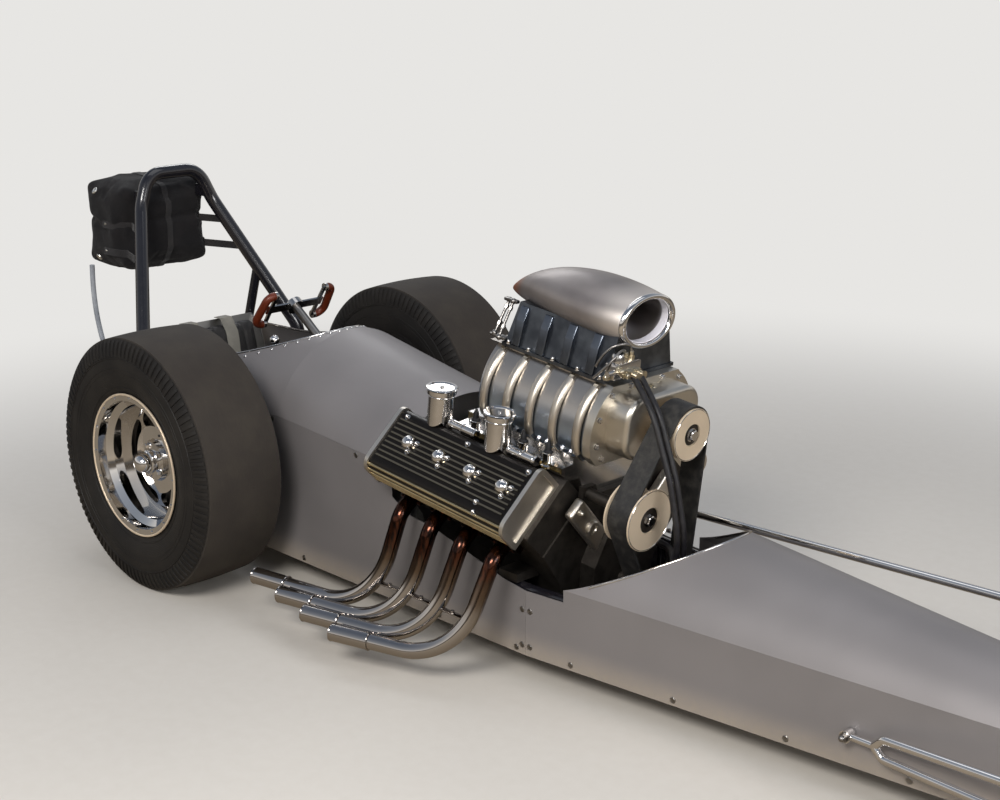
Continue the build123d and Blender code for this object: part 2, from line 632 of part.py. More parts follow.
def make_valve_covers():
    y0, y1 = -COVER_MID - COVER_WIDTH / 2, -COVER_MID + COVER_WIDTH / 2
    z0 = HEAD_TOP + RUNNING_GAP
    cover = box(COVER_BACK, COVER_FRONT, y0, y1, z0, COVER_TOP)
    long_edges = cover.edges().filter_by(Axis.X).sort_by(Axis.Z)[-2:]
    cover = fillet(long_edges.sort_by(Axis.Y)[:1], 34)
    cover = fillet(cover.edges().filter_by(Axis.X).sort_by(Axis.Z)[-1:], 22)
    pieces = [cover]
    for i in range(9):
        y = y0 + 44 + i * 15
        pieces.append(box(COVER_BACK + 12, COVER_FRONT - 16, y - 2.5, y + 2.5, COVER_TOP - 2,
                          COVER_TOP + 3))
    for i in range(4):
        x = FIRST_PLUG_X + BORE_PITCH * i
        pieces.append(rod((x, -32, COVER_TOP - 3), (x, -32, COVER_TOP + 9), 17))
        pieces.append(Pos(x, -32, COVER_TOP + 2) * Sphere(15.5))
    right = engine_place(bank_place(pieces[0].fuse(*pieces[1:])))
    return Compound(both_sides(right))


def make_breathers():
    right = []
    for x in (110, 336):
        base = -262
        can = rod((x, base, 330), (x, base, 448), 36).fuse(rod((x, base, 440), (x, base, 454), 41))
        cover = bank_place(box(COVER_BACK, COVER_FRONT, -COVER_MID - COVER_WIDTH / 2,
                               -COVER_MID + COVER_WIDTH / 2 + RUNNING_GAP, 200,
                               COVER_TOP + 3 + RUNNING_GAP))
        right.append(engine_place(can - cover))
    return Compound([piece for can in right for piece in both_sides(can)])


# right-hand pipes, rear to front: where each one ends (x, y, z)
PIPE_ENDS = [(455, -545, 141), (598, -566, 131), (735, -586, 121), (876, -602, 112)]
PIPE_BEND = 205
COLLAR_LENGTH = 120


def make_headers():
    """Four pipes that leave the head sideways, drop and sweep back in one long bend each."""
    s = math.sqrt(0.5)
    flange = box(FIRST_PLUG_X - 40, FIRST_PLUG_X + 3 * BORE_PITCH + 40, -HEAD_OUT - 24,
                 -HEAD_OUT - 6.3, 292, 348)
    pieces = [engine_place(bank_place(flange))]
    hollows = []
    for i, end in enumerate(PIPE_ENDS):
        port = engine_point(FIRST_PLUG_X + BORE_PITCH * i, -(320 + HEAD_OUT + 20) * s,
                            (320 - HEAD_OUT - 20) * s)
        end = Vector(*end)
        elbow = port + Vector(22, -64, -21)
        low = Vector(port.X - 22, -456 - 9 * i, end.Z - 10)
        back = (end - low).normalized()
        pieces.append(tube([port, elbow, low, end], PIPE_R, [46, PIPE_BEND]))
        pieces.append(rod(end - back * COLLAR_LENGTH, end, PIPE_R + 2.5))
        hollows.append(rod(end - back * 60, end + back, PIPE_R))
    right = pieces[0].fuse(*pieces[1:])
    for hollow in hollows:
        right -= hollow
    return right


def make_intake_manifold():
    half = [(131.5, 252.7), (185, 306.2), (210, 331), (210, 346), (168, 350), (168, BLOWER_Z0 - 0.3)]
    outline = half + [(-y, z) for y, z in reversed(half)]
    body = plate_yz(outline, 125, 525)
    pieces = [body]
    for i in range(4):
        for side in (-1, 1):
            x = 190 + i * 92
            pieces.append(rod((x, side * 202, 340), (x, side * 202, 372), 9))
            pieces.append(Solid.make_cone(11, 3, 26, Plane((x, side * 202, 372), z_dir=(0, 0, 1))))
    return engine_place(pieces[0].fuse(*pieces[1:]))


def blower_face(x, grow=0):
    """Section of the case: flat top and bottom, sides bowed out over the two rotors."""
    g = grow
    return make_face([
        Line((x, -160 - g, BLOWER_Z0), (x, 160 + g, BLOWER_Z0)),
        Line((x, 160 + g, BLOWER_Z0), (x, 186 + g, BLOWER_Z0 + 26)),
        ThreePointArc((x, 186 + g, BLOWER_Z0 + 26), (x, 182 + g, 500 + g / 2),
                      (x, 128 + g, BLOWER_Z1 - 8)),
        Line((x, 128 + g, BLOWER_Z1 - 8), (x, 128, BLOWER_Z1)),
        Line((x, 128, BLOWER_Z1), (x, -128, BLOWER_Z1)),
        Line((x, -128, BLOWER_Z1), (x, -128 - g, BLOWER_Z1 - 8)),
        ThreePointArc((x, -128 - g, BLOWER_Z1 - 8), (x, -182 - g, 500 + g / 2),
                      (x, -186 - g, BLOWER_Z0 + 26)),
        Line((x, -186 - g, BLOWER_Z0 + 26), (x, -160 - g, BLOWER_Z0)),
    ])


def make_blower_case():
    case = extrude(blower_face(BLOWER_BACK), amount=BLOWER_FRONT - BLOWER_BACK, dir=(1, 0, 0))
    ribs = []
    for i in range(5):
        x = BLOWER_BACK + 8 + i * 86
        ribs.append(extrude(blower_face(x, 12), amount=14, dir=(1, 0, 0)))
    rear = extrude(blower_face(BLOWER_BACK - 26, -14), amount=26, dir=(1, 0, 0))
    rear_cap = extrude(blower_face(BLOWER_BACK - 44, -60), amount=20, dir=(1, 0, 0))
    return engine_place(case.fuse(*ribs, rear, rear_cap))


def make_blower_front():
    plate = extrude(blower_face(BLOWER_FRONT + RUNNING_GAP, 8), amount=26, dir=(1, 0, 0))
    cover_face = RectangleRounded(290, 172, 60)
    plane = Plane((BLOWER_FRONT + 26, 0, PULLEY_Z), x_dir=(0, 1, 0), z_dir=(1, 0, 0))
    cover = extrude(plane * cover_face, amount=72)
    cover = fillet(cover.faces().sort_by(Axis.X)[-1].edges(), 14)
    snout = rod((BLOWER_FRONT + 60, 0, PULLEY_Z), (PULLEY_FRONT - 40, 0, PULLEY_Z), 40)
    return engine_place(plate.fuse(cover, snout))


# blower, idler and crankshaft pulleys: y, z, drum radius, front flange radius, bore radius
PULLEYS = [(0, PULLEY_Z, PULLEY_R, PULLEY_R + 1, 40), (IDLER_Y, IDLER_Z, PULLEY_R, 84, 16),
           (0, 0, CRANK_PULLEY_R, CRANK_PULLEY_R + 10, 24)]


def make_drive_pulleys():
    pulleys = []
    for y, z, drum_r, flange_r, bore_r in PULLEYS:
        drum = rod((PULLEY_BACK + 1, y, z), (PULLEY_FRONT - 4, y, z), drum_r)
        front = rod((PULLEY_FRONT - 4, y, z), (PULLEY_FRONT, y, z), flange_r)
        hollow = rod((PULLEY_BACK, y, z), (PULLEY_FRONT - 39, y, z), bore_r + RUNNING_GAP)
        recess = rod((PULLEY_FRONT - 22, y, z), (PULLEY_FRONT + 1, y, z), flange_r * 0.42)
        nut = rod((PULLEY_FRONT - 24, y, z), (PULLEY_FRONT - 6, y, z), 13)
        pulleys.append(drum.fuse(front) - hollow - recess + nut)
    idler_back = rod((PULLEY_BACK - 4, IDLER_Y, IDLER_Z), (PULLEY_BACK + 1, IDLER_Y, IDLER_Z), 84)
    idler_hole = rod((PULLEY_BACK - 5, IDLER_Y, IDLER_Z), (PULLEY_BACK + 2, IDLER_Y, IDLER_Z),
                     16 + RUNNING_GAP)
    pulleys[1] = pulleys[1] + (idler_back - idler_hole)
    return engine_place(Compound(pulleys))


def belt_loop(x, grow):
    """Face bounded by a belt round the three pulleys: a straight run between each two, and
    the arc of each pulley that the belt lies on."""
    circles = [(y, z, r + grow) for y, z, r, flange, bore in PULLEYS]
    leans = []
    for (y0, z0, r0), (y1, z1, r1) in zip(circles, circles[1:] + circles[:1]):
        along = math.atan2(z1 - z0, y1 - y0)
        leans.append(along - math.acos((r0 - r1) / math.hypot(y1 - y0, z1 - z0)))
    edges = []
    for i, (y, z, r) in enumerate(circles):
        on, off = leans[i - 1], leans[i]
        off += 2 * math.pi * math.ceil((on - off) / (2 * math.pi))
        points = [(x, y + r * math.cos(a), z + r * math.sin(a)) for a in (on, (on + off) / 2, off)]
        edges.append(ThreePointArc(*points))
    runs = [Line(a @ 1, b @ 0) for a, b in zip(edges, edges[1:] + edges[:1])]
    return make_face(edges + runs)


def make_blower_belt():
    outer = extrude(belt_loop(PULLEY_BACK + 2, RUNNING_GAP + BELT_THICK), amount=72, dir=(1, 0, 0))
    inner = extrude(belt_loop(PULLEY_BACK + 1, RUNNING_GAP), amount=74, dir=(1, 0, 0))
    return engine_place(outer - inner)


def make_fuel_pump():
    z = 150
    back = BLOCK_LENGTH + FRONT_COVER + RUNNING_GAP
    flange = extrude(Plane((back, 0, z), x_dir=(0, 1, 0), z_dir=(1, 0, 0))
                     * RectangleRounded(104, 70, 18), amount=12)
    body = rod((back, 0, z), (back + 66, 0, z), 40)
    cap = rod((back + 60, 0, z), (back + PUMP_LENGTH, 0, z), 28)
    inlet = rod((back + 40, 0, z), (back + 40, 0, z + 60), 12)
    return engine_place(flange.fuse(body, cap, inlet))


def make_magneto():
    body = rod((72, 0, 252.7), (72, 0, 372), 38)
    cap = rod((72, 0, 372), (72, 0, 430), 46)
    towers = [rod((72 + 30 * math.cos(a), 30 * math.sin(a), 428),
                  (72 + 30 * math.cos(a), 30 * math.sin(a), 446), 7)
              for a in (math.radians(45 * i) for i in range(8))]
    return engine_place(body.fuse(cap, *towers))


SCOOP_SECTIONS = [(107, 700, 12, 10), (190, 722, 62, 45), (300, 738, 103, 66),
                  (450, 741, 125, 74.5), (585, 733, 106, 72.5)]


def scoop_loft(sections, grow):
    return loft([Plane((x, 0, z), x_dir=(0, 1, 0), z_dir=(1, 0, 0)) * Ellipse(a + grow, b + grow)
                 for x, z, a, b in sections])


def make_scoop():
    outer = scoop_loft(SCOOP_SECTIONS, 0)
    cavity = scoop_loft([(210, 726, 50, 34), (320, 738, 95, 58), (450, 741, 117, 67),
                         (560, 735, 100, 66)], 0)
    mouth = scoop_loft([(555, 735, 88, 59), (590, 733, 86, 57)], 0)
    return engine_place(outer - cavity - mouth)


def make_injector_body():
    base = Plane((390, 0, BLOWER_Z1 + RUNNING_GAP)) * Rectangle(370, 262)
    top = Plane((402, 0, 705)) * Rectangle(356, 200)
    body = loft([base, top])
    flange = box(202, 578, -138, 138, BLOWER_Z1 + RUNNING_GAP, BLOWER_Z1 + 10)
    ribs = []
    for x in (255, 345, 435, 525):
        for side in (-1, 1):
            ribs.append(plate_yz([(side * 90, 592), (side * 134, 592), (side * 118, 660),
                                  (side * 90, 690)], x - 6, x + 6))
    whole = body.fuse(flange, *ribs)
    return engine_place(whole - scoop_loft(SCOOP_SECTIONS, RUNNING_GAP)
                        - box(100, 700, -200, 200, 720, 900))


HOSE_R = 8
HOSE_END_X = BLOCK_LENGTH + FRONT_COVER + PUMP_LENGTH + 2 * RUNNING_GAP
HOSE_ROUTES = [
    [(577.1, -58, 614), (628, -60, 613), (738, -100, 548), (818, -102, 392), (856, -96, 262),
     (HOSE_END_X + 176.4, -66, 130), (HOSE_END_X + 88.4, 8, 138), (HOSE_END_X, 8, 141)],
    [(577.1, -80, 612), (626, -82, 611), (734, -120, 548), (814, -122, 392), (852, -116, 262),
     (HOSE_END_X + 170.4, -88, 118), (HOSE_END_X + 84.4, -8, 154), (HOSE_END_X, -8, 157)],
]
HOSE_BENDS = [60, 120, 300, 150, 60, 60]


def make_fuel_hoses():
    """Two hoses from the injector, outside the blower's front and down ahead of the belt."""
    return Compound([engine_place(tube(route, HOSE_R, HOSE_BENDS)) for route in HOSE_ROUTES])


# Parachute
def make_chute_pack():
    pack = box(PACK_BACK_X, PACK_FRONT_X, -185, 185, PACK_FLOOR_Z, 1120)
    pack = fillet(pack.edges().filter_by(Axis.Y), 40)
    return pack


TETHER_ROUTE = [(-985, -160, PACK_FLOOR_Z - RUNNING_GAP), (-988, -160, 742), (-988, -158, 675),
                (-980, -156, 605), (-962, -153, 535), (-935, -150, 465), (-898, -147, 400),
                (-858, -144, 343), (-814, -140, 291), (-768, -136, 246), (-726, -132, 208),
                (-680, -130, 186.5)]


def make_chute_tether():
    radii = []
    for a, b, c in zip(TETHER_ROUTE[:-2], TETHER_ROUTE[1:-1], TETHER_ROUTE[2:]):
        one, two = Vector(*b) - Vector(*a), Vector(*c) - Vector(*b)
        turn = math.radians(one.get_angle(two))
        radii.append(0.45 * min(one.length, two.length) / math.tan(turn / 2))
    print("tether radii", [round(r) for r in radii])
    return tube(TETHER_ROUTE, 9, radii)


front_wheel = make_front_wheel()
front_tyre = make_front_tyre()
rear_wheel = make_rear_wheel()
rear_tyre = make_rear_tyre()
rear_drum = make_rear_drum()
right_headers = make_headers()

PARTS = {
    "frame_lower": make_lower_frame(),
    "frame_upper": make_upper_frame(),
    "roll_hoop": make_roll_hoop(),
    "belly_pan": make_belly_pan(),
    "side_panels": make_side_panels(),
    "cowl": make_cowl(),
    "nose_shell": make_nose_shell(),
    "tail_panel": make_tail_panel(),
    "firewall": make_firewall(),
    "seat_shell": make_seat_shell(),
    "seat_cushion": make_seat_cushion(),
    "steering_column": make_steering_column(),
    "brake_lever": make_brake_lever(),
    "rear_axle_housing": make_rear_axle(),
    "front_axle": make_front_axle(),
    "radius_rods": make_hairpins(),
    "engine_block": make_engine_block(),
    "bellhousing": make_bellhousing(),
    "cylinder_heads": make_cylinder_heads(),
    "valve_covers": make_valve_covers(),
    "breathers": make_breathers(),
    "header_right": right_headers,
    "header_left": left_of(right_headers),
    "intake_manifold": make_intake_manifold(),
    "blower_case": make_blower_case(),
    "blower_front": make_blower_front(),
    "drive_pulleys": make_drive_pulleys(),
    "blower_belt": make_blower_belt(),
    "fuel_pump": make_fuel_pump(),
    "magneto": make_magneto(),
    "injector_body": make_injector_body(),
    "scoop": make_scoop(),
    "fuel_hoses": make_fuel_hoses(),
    "chute_pack": make_chute_pack(),
    "chute_tether": make_chute_tether(),
    "steering_wheel": make_steering_wheel(),
    "pitman_arm": make_pitman_arm(),
    "drag_link": make_drag_link(),
    "tie_rod": make_tie_rod(),
    "spindle_right": make_spindle(),
    "spindle_left": make_left_spindle(),
    "front_wheel_right": front_wheel,
    "front_wheel_left": left_of(front_wheel),
    "front_tyre_right": front_tyre,
    "front_tyre_left": left_of(front_tyre),
    "rear_wheel_right": rear_wheel,
    "rear_wheel_left": left_of(rear_wheel),
    "rear_tyre_right": rear_tyre,
    "rear_tyre_left": left_of(rear_tyre),
    "rear_drum_right": rear_drum,
    "rear_drum_left": left_of(rear_drum),
}

os.makedirs("parts", exist_ok=True)
for name, shape in PARTS.items():
    export_step(Pos(SHIFT_X, 0, 0) * shape, f"parts/{name}.step")
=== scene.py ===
# %% [markdown]
# # A front-engined dragster, dressed over its CAD parts
#
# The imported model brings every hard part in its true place. This script gives each part a
# material made of nodes, and adds what is too small or too soft for CAD: rivets, lugs on the
# slicks, the parachute's cloth, cushions, straps and fittings.

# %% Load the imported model
import math

import bmesh
import bpy
import numpy as np
from mathutils import Matrix, Vector, noise
from mathutils.bvhtree import BVHTree


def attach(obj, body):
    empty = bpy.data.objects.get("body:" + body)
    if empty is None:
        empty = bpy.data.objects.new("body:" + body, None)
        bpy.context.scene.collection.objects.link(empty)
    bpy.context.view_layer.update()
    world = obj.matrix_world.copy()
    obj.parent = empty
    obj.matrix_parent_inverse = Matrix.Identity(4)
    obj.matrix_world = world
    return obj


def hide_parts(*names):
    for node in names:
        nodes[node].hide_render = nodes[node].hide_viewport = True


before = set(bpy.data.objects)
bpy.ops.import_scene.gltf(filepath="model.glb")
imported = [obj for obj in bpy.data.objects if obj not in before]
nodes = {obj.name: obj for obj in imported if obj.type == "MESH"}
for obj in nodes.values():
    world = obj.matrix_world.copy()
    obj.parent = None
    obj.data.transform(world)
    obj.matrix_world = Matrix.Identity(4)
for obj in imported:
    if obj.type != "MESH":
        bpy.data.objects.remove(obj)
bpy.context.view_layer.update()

# %% [markdown]
# ## Places
#
# The drawings measure the car in millimetres from its rear axle, and the engine from the
# back of its crankshaft, so these helpers turn both into scene metres.

# %% Points on the car and on the engine
REAR_AXLE_X = -1.215


def at(x, y, z):
    """A point of the drawing, in scene metres."""
    return Vector((x / 1000 + REAR_AXLE_X, y / 1000, z / 1000))


ENGINE = Matrix.Translation(at(800, 0, 312)) @ Matrix.Rotation(math.radians(6), 4, "Y")
RIGHT_BANK = ENGINE @ Matrix.Rotation(math.radians(45), 4, "X")


def on_engine(x, y, z):
    return ENGINE @ (Vector((x, y, z)) / 1000)


def place(point, up=(0, 0, 1), along=(1, 0, 0)):
    """A matrix at a point, with Z along up and X as near as can be to along."""
    z = Vector(up).normalized()
    x = Vector(along) - z * Vector(along).dot(z)
    if x.length < 1e-4:
        x = z.orthogonal()
    x.normalize()
    turned = Matrix((x, z.cross(x), z)).transposed().to_4x4()
    turned.translation = point
    return turned


print("front of the crankshaft:", [round(v, 3) for v in on_engine(730, 0, 0)])

# %% [markdown]
# ## Camera
#
# It stands where the photographer stood: ahead of the car on its right, a little above it.

# %% The photograph's view
yaw, pitch = math.radians(135.492), math.radians(-15.931)
aim = Vector((math.cos(yaw) * math.cos(pitch), math.sin(yaw) * math.cos(pitch), math.sin(pitch)))
camera = bpy.data.objects.new("camera", bpy.data.cameras.new("camera"))
bpy.context.scene.collection.objects.link(camera)
camera.location = (3.0045, -3.2476, 1.9790)
camera.rotation_euler = aim.to_track_quat("-Z", "Y").to_euler()
camera.data.sensor_width = 36
camera.data.lens = 60.641
bpy.context.scene.camera = camera
print("camera at", tuple(camera.location))

# %% [markdown]
# ## Materials
#
# A material is written as a sum. `Wire` stands for one output of a node, and it adds and
# multiplies as a number does. `Look` makes the material and has one method that makes nodes.


# %% Node arithmetic
class Wire:
    """One output of a material's nodes."""

    def __init__(self, look, socket):
        self.look = look
        self.socket = socket

    def math(self, kind, *values):
        return self.look.node("ShaderNodeMath", {"operation": kind}, values)

    def __add__(self, other):
        return self.math("ADD", self, other)

    def __sub__(self, other):
        return self.math("SUBTRACT", self, other)

    def __mul__(self, other):
        return self.math("MULTIPLY", self, other)

    def __truediv__(self, other):
        return self.math("DIVIDE", self, other)

    def __radd__(self, other):
        return self.math("ADD", other, self)

    def __rsub__(self, other):
        return self.math("SUBTRACT", other, self)

    def __rmul__(self, other):
        return self.math("MULTIPLY", other, self)

    def __rtruediv__(self, other):
        return self.math("DIVIDE", other, self)

    def __pow__(self, other):
        return self.math("POWER", self, other)

    def __abs__(self):
        return self.math("ABSOLUTE", self)

    def sin(self):
        return self.math("SINE", self)

    def step(self, low, high):
        """0 below low, 1 above high, smooth between."""
        kind = {"interpolation_type": "SMOOTHSTEP"}
        return self.look.node("ShaderNodeMapRange", kind, {0: self, 1: low, 2: high})


def tint(code):
    """A linear colour from the usual six digits."""
    parts = [int(code[i:i + 2], 16) / 255 for i in (0, 2, 4)]
    return tuple(((c + 0.055) / 1.055) ** 2.4 if c > 0.04 else c / 12.92 for c in parts) + (1,)


class Look:
    """A material, its shader and what feeds it."""

    def __init__(self, name, **fixed):
        self.material = bpy.data.materials.new(name)
        self.material.use_nodes = True
        self.tree = self.material.node_tree
        self.shader = self.tree.nodes["Principled BSDF"]
        for key, value in fixed.items():
            self.shader.inputs[key.replace("_", " ")].default_value = value

    def node(self, kind, settings=None, values=(), out=0):
        made = self.tree.nodes.new(kind)
        for key, value in (settings or {}).items():
            setattr(made, key, value)
        pairs = values.items() if isinstance(values, dict) else enumerate(values)
        for key, value in pairs:
            if isinstance(value, Wire):
                self.tree.links.new(value.socket, made.inputs[key])
            else:
                made.inputs[key].default_value = value
        return Wire(self, made.outputs[out])

    def set(self, **inputs):
        for key, wire in inputs.items():
            self.tree.links.new(wire.socket, self.shader.inputs[key.replace("_", " ")])
        return self

    def spot(self):
        return self.node("ShaderNodeTexCoord", out="Object")

    def xyz(self):
        split = self.node("ShaderNodeSeparateXYZ", values=[self.spot()])
        return [Wire(self, split.socket.node.outputs[i]) for i in range(3)]

    def noise(self, scale, detail=3.0, rough=0.5, stretch=(1, 1, 1)):
        spot = self.node("ShaderNodeMapping", values={"Vector": self.spot(), "Scale": stretch})
        values = {"Vector": spot, "Scale": scale, "Detail": detail, "Roughness": rough}
        return self.node("ShaderNodeTexNoise", values=values)

    def mix(self, low, high, share):
        return self.node("ShaderNodeMix", {"data_type": "RGBA"}, {0: share, 6: low, 7: high}, out=2)

    def bump(self, height, depth):
        """Relief of the given depth in metres, for a height that runs from 0 to 1."""
        values = {"Height": height, "Distance": depth, "Strength": 1.0}
        self.set(Normal=self.node("ShaderNodeBump", values=values))
        return self


print("materials are sums of nodes")


# %% Metals
def metal(name, code, rough, spread=0.08, grain=35, tone=0.10, brush=None, pits=0.0):
    """Bare or plated metal: cloudy tone, uneven polish, and brush marks or cast pits."""
    look = Look(name, Metallic=1.0)
    cloud = look.noise(grain, 4)
    base = tint(code)
    dark = tuple(c * (1 - 2 * tone) for c in base[:3]) + (1,)
    look.set(Base_Color=look.mix(dark, base, cloud.step(0.25, 0.6)))
    wear = look.noise(grain * 7, 3, 0.6, brush or (1, 1, 1))
    look.set(Roughness=rough + (wear - 0.5) * (2 * spread))
    if pits:
        look.bump(look.noise(700, 2), pits)
    elif brush:
        look.bump(wear, 0.00004)
    return look


chrome = metal("chrome", "e4e2e0", 0.06, 0.03, 9, 0.04)
polished = metal("polished_aluminium", "d8d5d2", 0.17, 0.07, 14, 0.08)
cast = metal("pump_casting", "d5cfc4", 0.34, 0.06, 6, 0.05, pits=0.00005)
# a brassy colour that is a painted reflection of warm ground, for the valve covers' side ribs
brassy_reflection_gilt = metal("brassy_reflection_polish", "d2bf95", 0.20, 0.08, 20, 0.12)
rough_cast = metal("rough_casting", "8d8b88", 0.52, 0.10, 20, 0.15, pits=0.0002)
brushed = metal("brushed_sheet", "b9b7b4", 0.34, 0.08, 8, 0.08, brush=(1, 12, 12))
machined = metal("machined_alloy", "e6d3b9", 0.48, 0.04, 8, 0.06)
machined.shader.inputs["Metallic"].default_value = 0.55
steel = metal("plain_steel", "8f8c89", 0.33, 0.10, 30, 0.14)
brass = metal("brass_fittings", "d3c8b0", 0.30, 0.08, 30, 0.10)
end_plate = metal("end_plates", "d4cec4", 0.38, 0.08, 12, 0.08, brush=(12, 1, 12))
iron = metal("cast_iron", "4c4844", 0.55, 0.10, 25, 0.20, pits=0.00015)
print("metals:", 11)


# %% Blower: warm ribs with painted shade at their roots, on panels with a painted reflection, cooler low down and warmer up high
RIB_START, RIB_PITCH = 209, 86


def engine_way(look, way):
    """Millimetres in the engine's frame, along a direction of it that has no Y."""
    x, y, z = look.xyz()
    start = ENGINE.translation
    along = ENGINE.to_3x3() @ Vector(way)
    return ((x - start.x) * along.x + (z - start.z) * along.z) * 1000


def engine_x(look):
    return engine_way(look, (1, 0, 0))


def blower_look():
    look = Look("blower_casting", Metallic=1.0)
    phase = (engine_x(look) - RIB_START) * (2 * math.pi / RIB_PITCH)
    place_on_rib = ((phase + math.pi / 2).sin() + 1) * 0.5
    rib = place_on_rib.step(0.93, 0.955)
    # painted shade: the roots between the ribs are darkened where shade falls
    rib_root_shade = place_on_rib.step(0.62, 0.78) * (1 - rib)
    cloud = look.noise(7, 4)
    # painted reflection: the panels are coloured bluish low down and warm from 440 mm up
    cool_panel_reflection = look.mix(tint("8b9db3"), tint("b9c6d6"), cloud.step(0.25, 0.7))
    high = engine_way(look, (0, 0, 1)).step(440, 520)
    panel = look.mix(cool_panel_reflection, tint("bfb8b0"), high)
    bare = look.mix(panel, tint("e2d3ba"), rib)
    look.set(Base_Color=look.mix(bare, tint("56534f"), rib_root_shade * 0.6))
    look.set(Roughness=0.30 - rib * 0.10 + rib_root_shade * 0.1 + (cloud - 0.5) * 0.1)
    return look.bump(look.noise(600, 2), 0.00006)


blower_metal = blower_look()


# %% Scoop: spun alloy, with painted light inside its mouth and a painted highlight to the front, its tail coloured by heat
MOUTH_HALF_WIDTH, MOUTH_HALF_HEIGHT, MOUTH_Z = 118, 73, 737


def scoop_look():
    look = Look("spun_scoop", Coat_Roughness=0.20, Coat_Weight=0.10)
    x, y, z = look.xyz()
    along = engine_x(look)
    across = y * (1000 / MOUTH_HALF_WIDTH)
    rise = (engine_way(look, (0, 0, 1)) - MOUTH_Z) / MOUTH_HALF_HEIGHT
    reach = (across * across + rise * rise) ** 0.5
    # painted light: the deep inside of the mouth is made pale and non-metallic so it reads as lit
    painted_light_inside = (1 - reach.step(0.86, 0.92)) * along.step(330, 380)
    cloud = look.noise(5, 3)
    body = look.mix(tint("77706e"), tint("98918e"), cloud.step(0.3, 0.7))
    # painted highlight: the body turns paler towards the front of the scoop
    body = look.mix(body, tint("c9c1ba"), along.step(470, 590))
    tail = 1 - (along + (cloud - 0.5) * 60).step(112, 190)
    body = look.mix(body, tint("a65f36"), tail * 0.9)
    look.set(Base_Color=look.mix(body, tint("e9e7ee"), painted_light_inside))
    look.set(Metallic=0.80 - painted_light_inside * 0.80)
    look.set(Roughness=0.44 + (cloud - 0.5) * 0.08)
    return look


scoop_paint = scoop_look()


def injector_look():
    look = Look("injector_anodised", Metallic=1.0)
    cloud = look.noise(18, 4)
    look.set(Base_Color=look.mix(tint("4a4e55"), tint("6b7077"), cloud.step(0.3, 0.75)))
    look.set(Roughness=0.36 + (cloud - 0.5) * 0.2)
    return look


injector_metal = injector_look()
print("blower, scoop and injector have their own looks")


# %% Silver paint, with a fine flake, and with dust low down
def paint(name, code, dust_top):
    look = Look(name, Coat_Roughness=0.22)
    x, y, z = look.xyz()
    cloud = look.noise(2.2, 3)
    flake = look.noise(1500, 1)
    base = tint(code)
    deep = tuple(c * 0.86 for c in base[:3]) + (1,)
    bright = tuple(min(1, c * 1.10) for c in base[:3]) + (1,)
    colour = look.mix(deep, bright, cloud.step(0.3, 0.7) * 0.7 + flake * 0.3)
    speck = look.noise(60, 5, 0.7)
    dust = (1 - z.step(0.085, dust_top)) * (0.35 + speck * 0.6)
    look.set(Base_Color=look.mix(colour, tint("a8977c"), dust * 0.55))
    look.set(Metallic=0.45 - dust * 0.4)
    look.set(Roughness=0.50 + cloud * 0.06 + dust * 0.25 + (flake - 0.5) * 0.08)
    look.set(Coat_Weight=0.09 - dust * 0.08)
    return look


silver = paint("silver_paint", "858181", 0.17)


def gloss_black(name):
    look = Look(name, Coat_Roughness=0.05)
    x, y, z = look.xyz()
    wear = look.noise(45, 5, 0.65)
    chip = (wear.step(0.66, 0.72)) * (1 - z.step(0.10, 0.9))
    look.set(Base_Color=look.mix(tint("16151a"), tint("4a443d"), chip * 0.6))
    look.set(Roughness=0.22 + (wear - 0.5) * 0.16 + chip * 0.3)
    look.set(Coat_Weight=0.7 - chip * 0.6)
    return look


black_tube = gloss_black("black_tube_paint")
print("paints:", silver.material.name, scoop_paint.material.name, black_tube.material.name)


# %% Valve covers: black between polished ribs, and brassy reflections low on the outside
def cover_look():
    look = Look("ribbed_cover")
    x, y, z = look.xyz()
    up = RIGHT_BANK.to_3x3() @ Vector((0, 0, 1))
    origin = RIGHT_BANK.translation
    out = abs(y)
    height = (x - origin.x) * up.x + out * (-up.y) + (z - origin.z) * up.z
    rib = height.step(0.4562, 0.4576)
    side = 1 - height.step(0.408, 0.418)
    stripe = ((height * 560).sin() * 0.5 + 0.5).step(0.35, 0.75)
    bare = rib.math("MAXIMUM", rib, side * (0.35 + stripe * 0.6))
    cloud = look.noise(30, 4)
    metal_tone = look.mix(tint("938874"), tint("96804f"), side)
    look.set(Base_Color=look.mix(tint("1a1613"), metal_tone, bare * 0.9))
    look.set(Metallic=bare * 0.35 + 0.6)
    look.set(Roughness=0.30 - bare * 0.10 + (cloud - 0.5) * 0.16)
    return look.bump(stripe * side, 0.0008)


covers = cover_look()


# %% Header pipes: blued and browned near the head, bright further down
def header_look():
    look = Look("heat_tinted_chrome", Metallic=1.0)
    x, y, z = look.xyz()
    cloud = look.noise(7, 3)
    heat = (z + (cloud - 0.5) * 0.09).step(0.17, 0.40)
    streak = look.noise(20, 3, 0.6, (6, 6, 1))
    hot = look.mix(tint("5c382a"), tint("241d1c"), streak.step(0.35, 0.65))
    mild = look.mix(tint("bab5b1"), tint("6c5d50"), heat.step(0.0, 0.55))
    look.set(Base_Color=look.mix(mild, hot, heat.step(0.45, 0.95)))
    look.set(Roughness=0.06 + heat * 0.12 + (streak - 0.5) * 0.05)
    return look


header_metal = header_look()
print("covers and headers have their own looks")


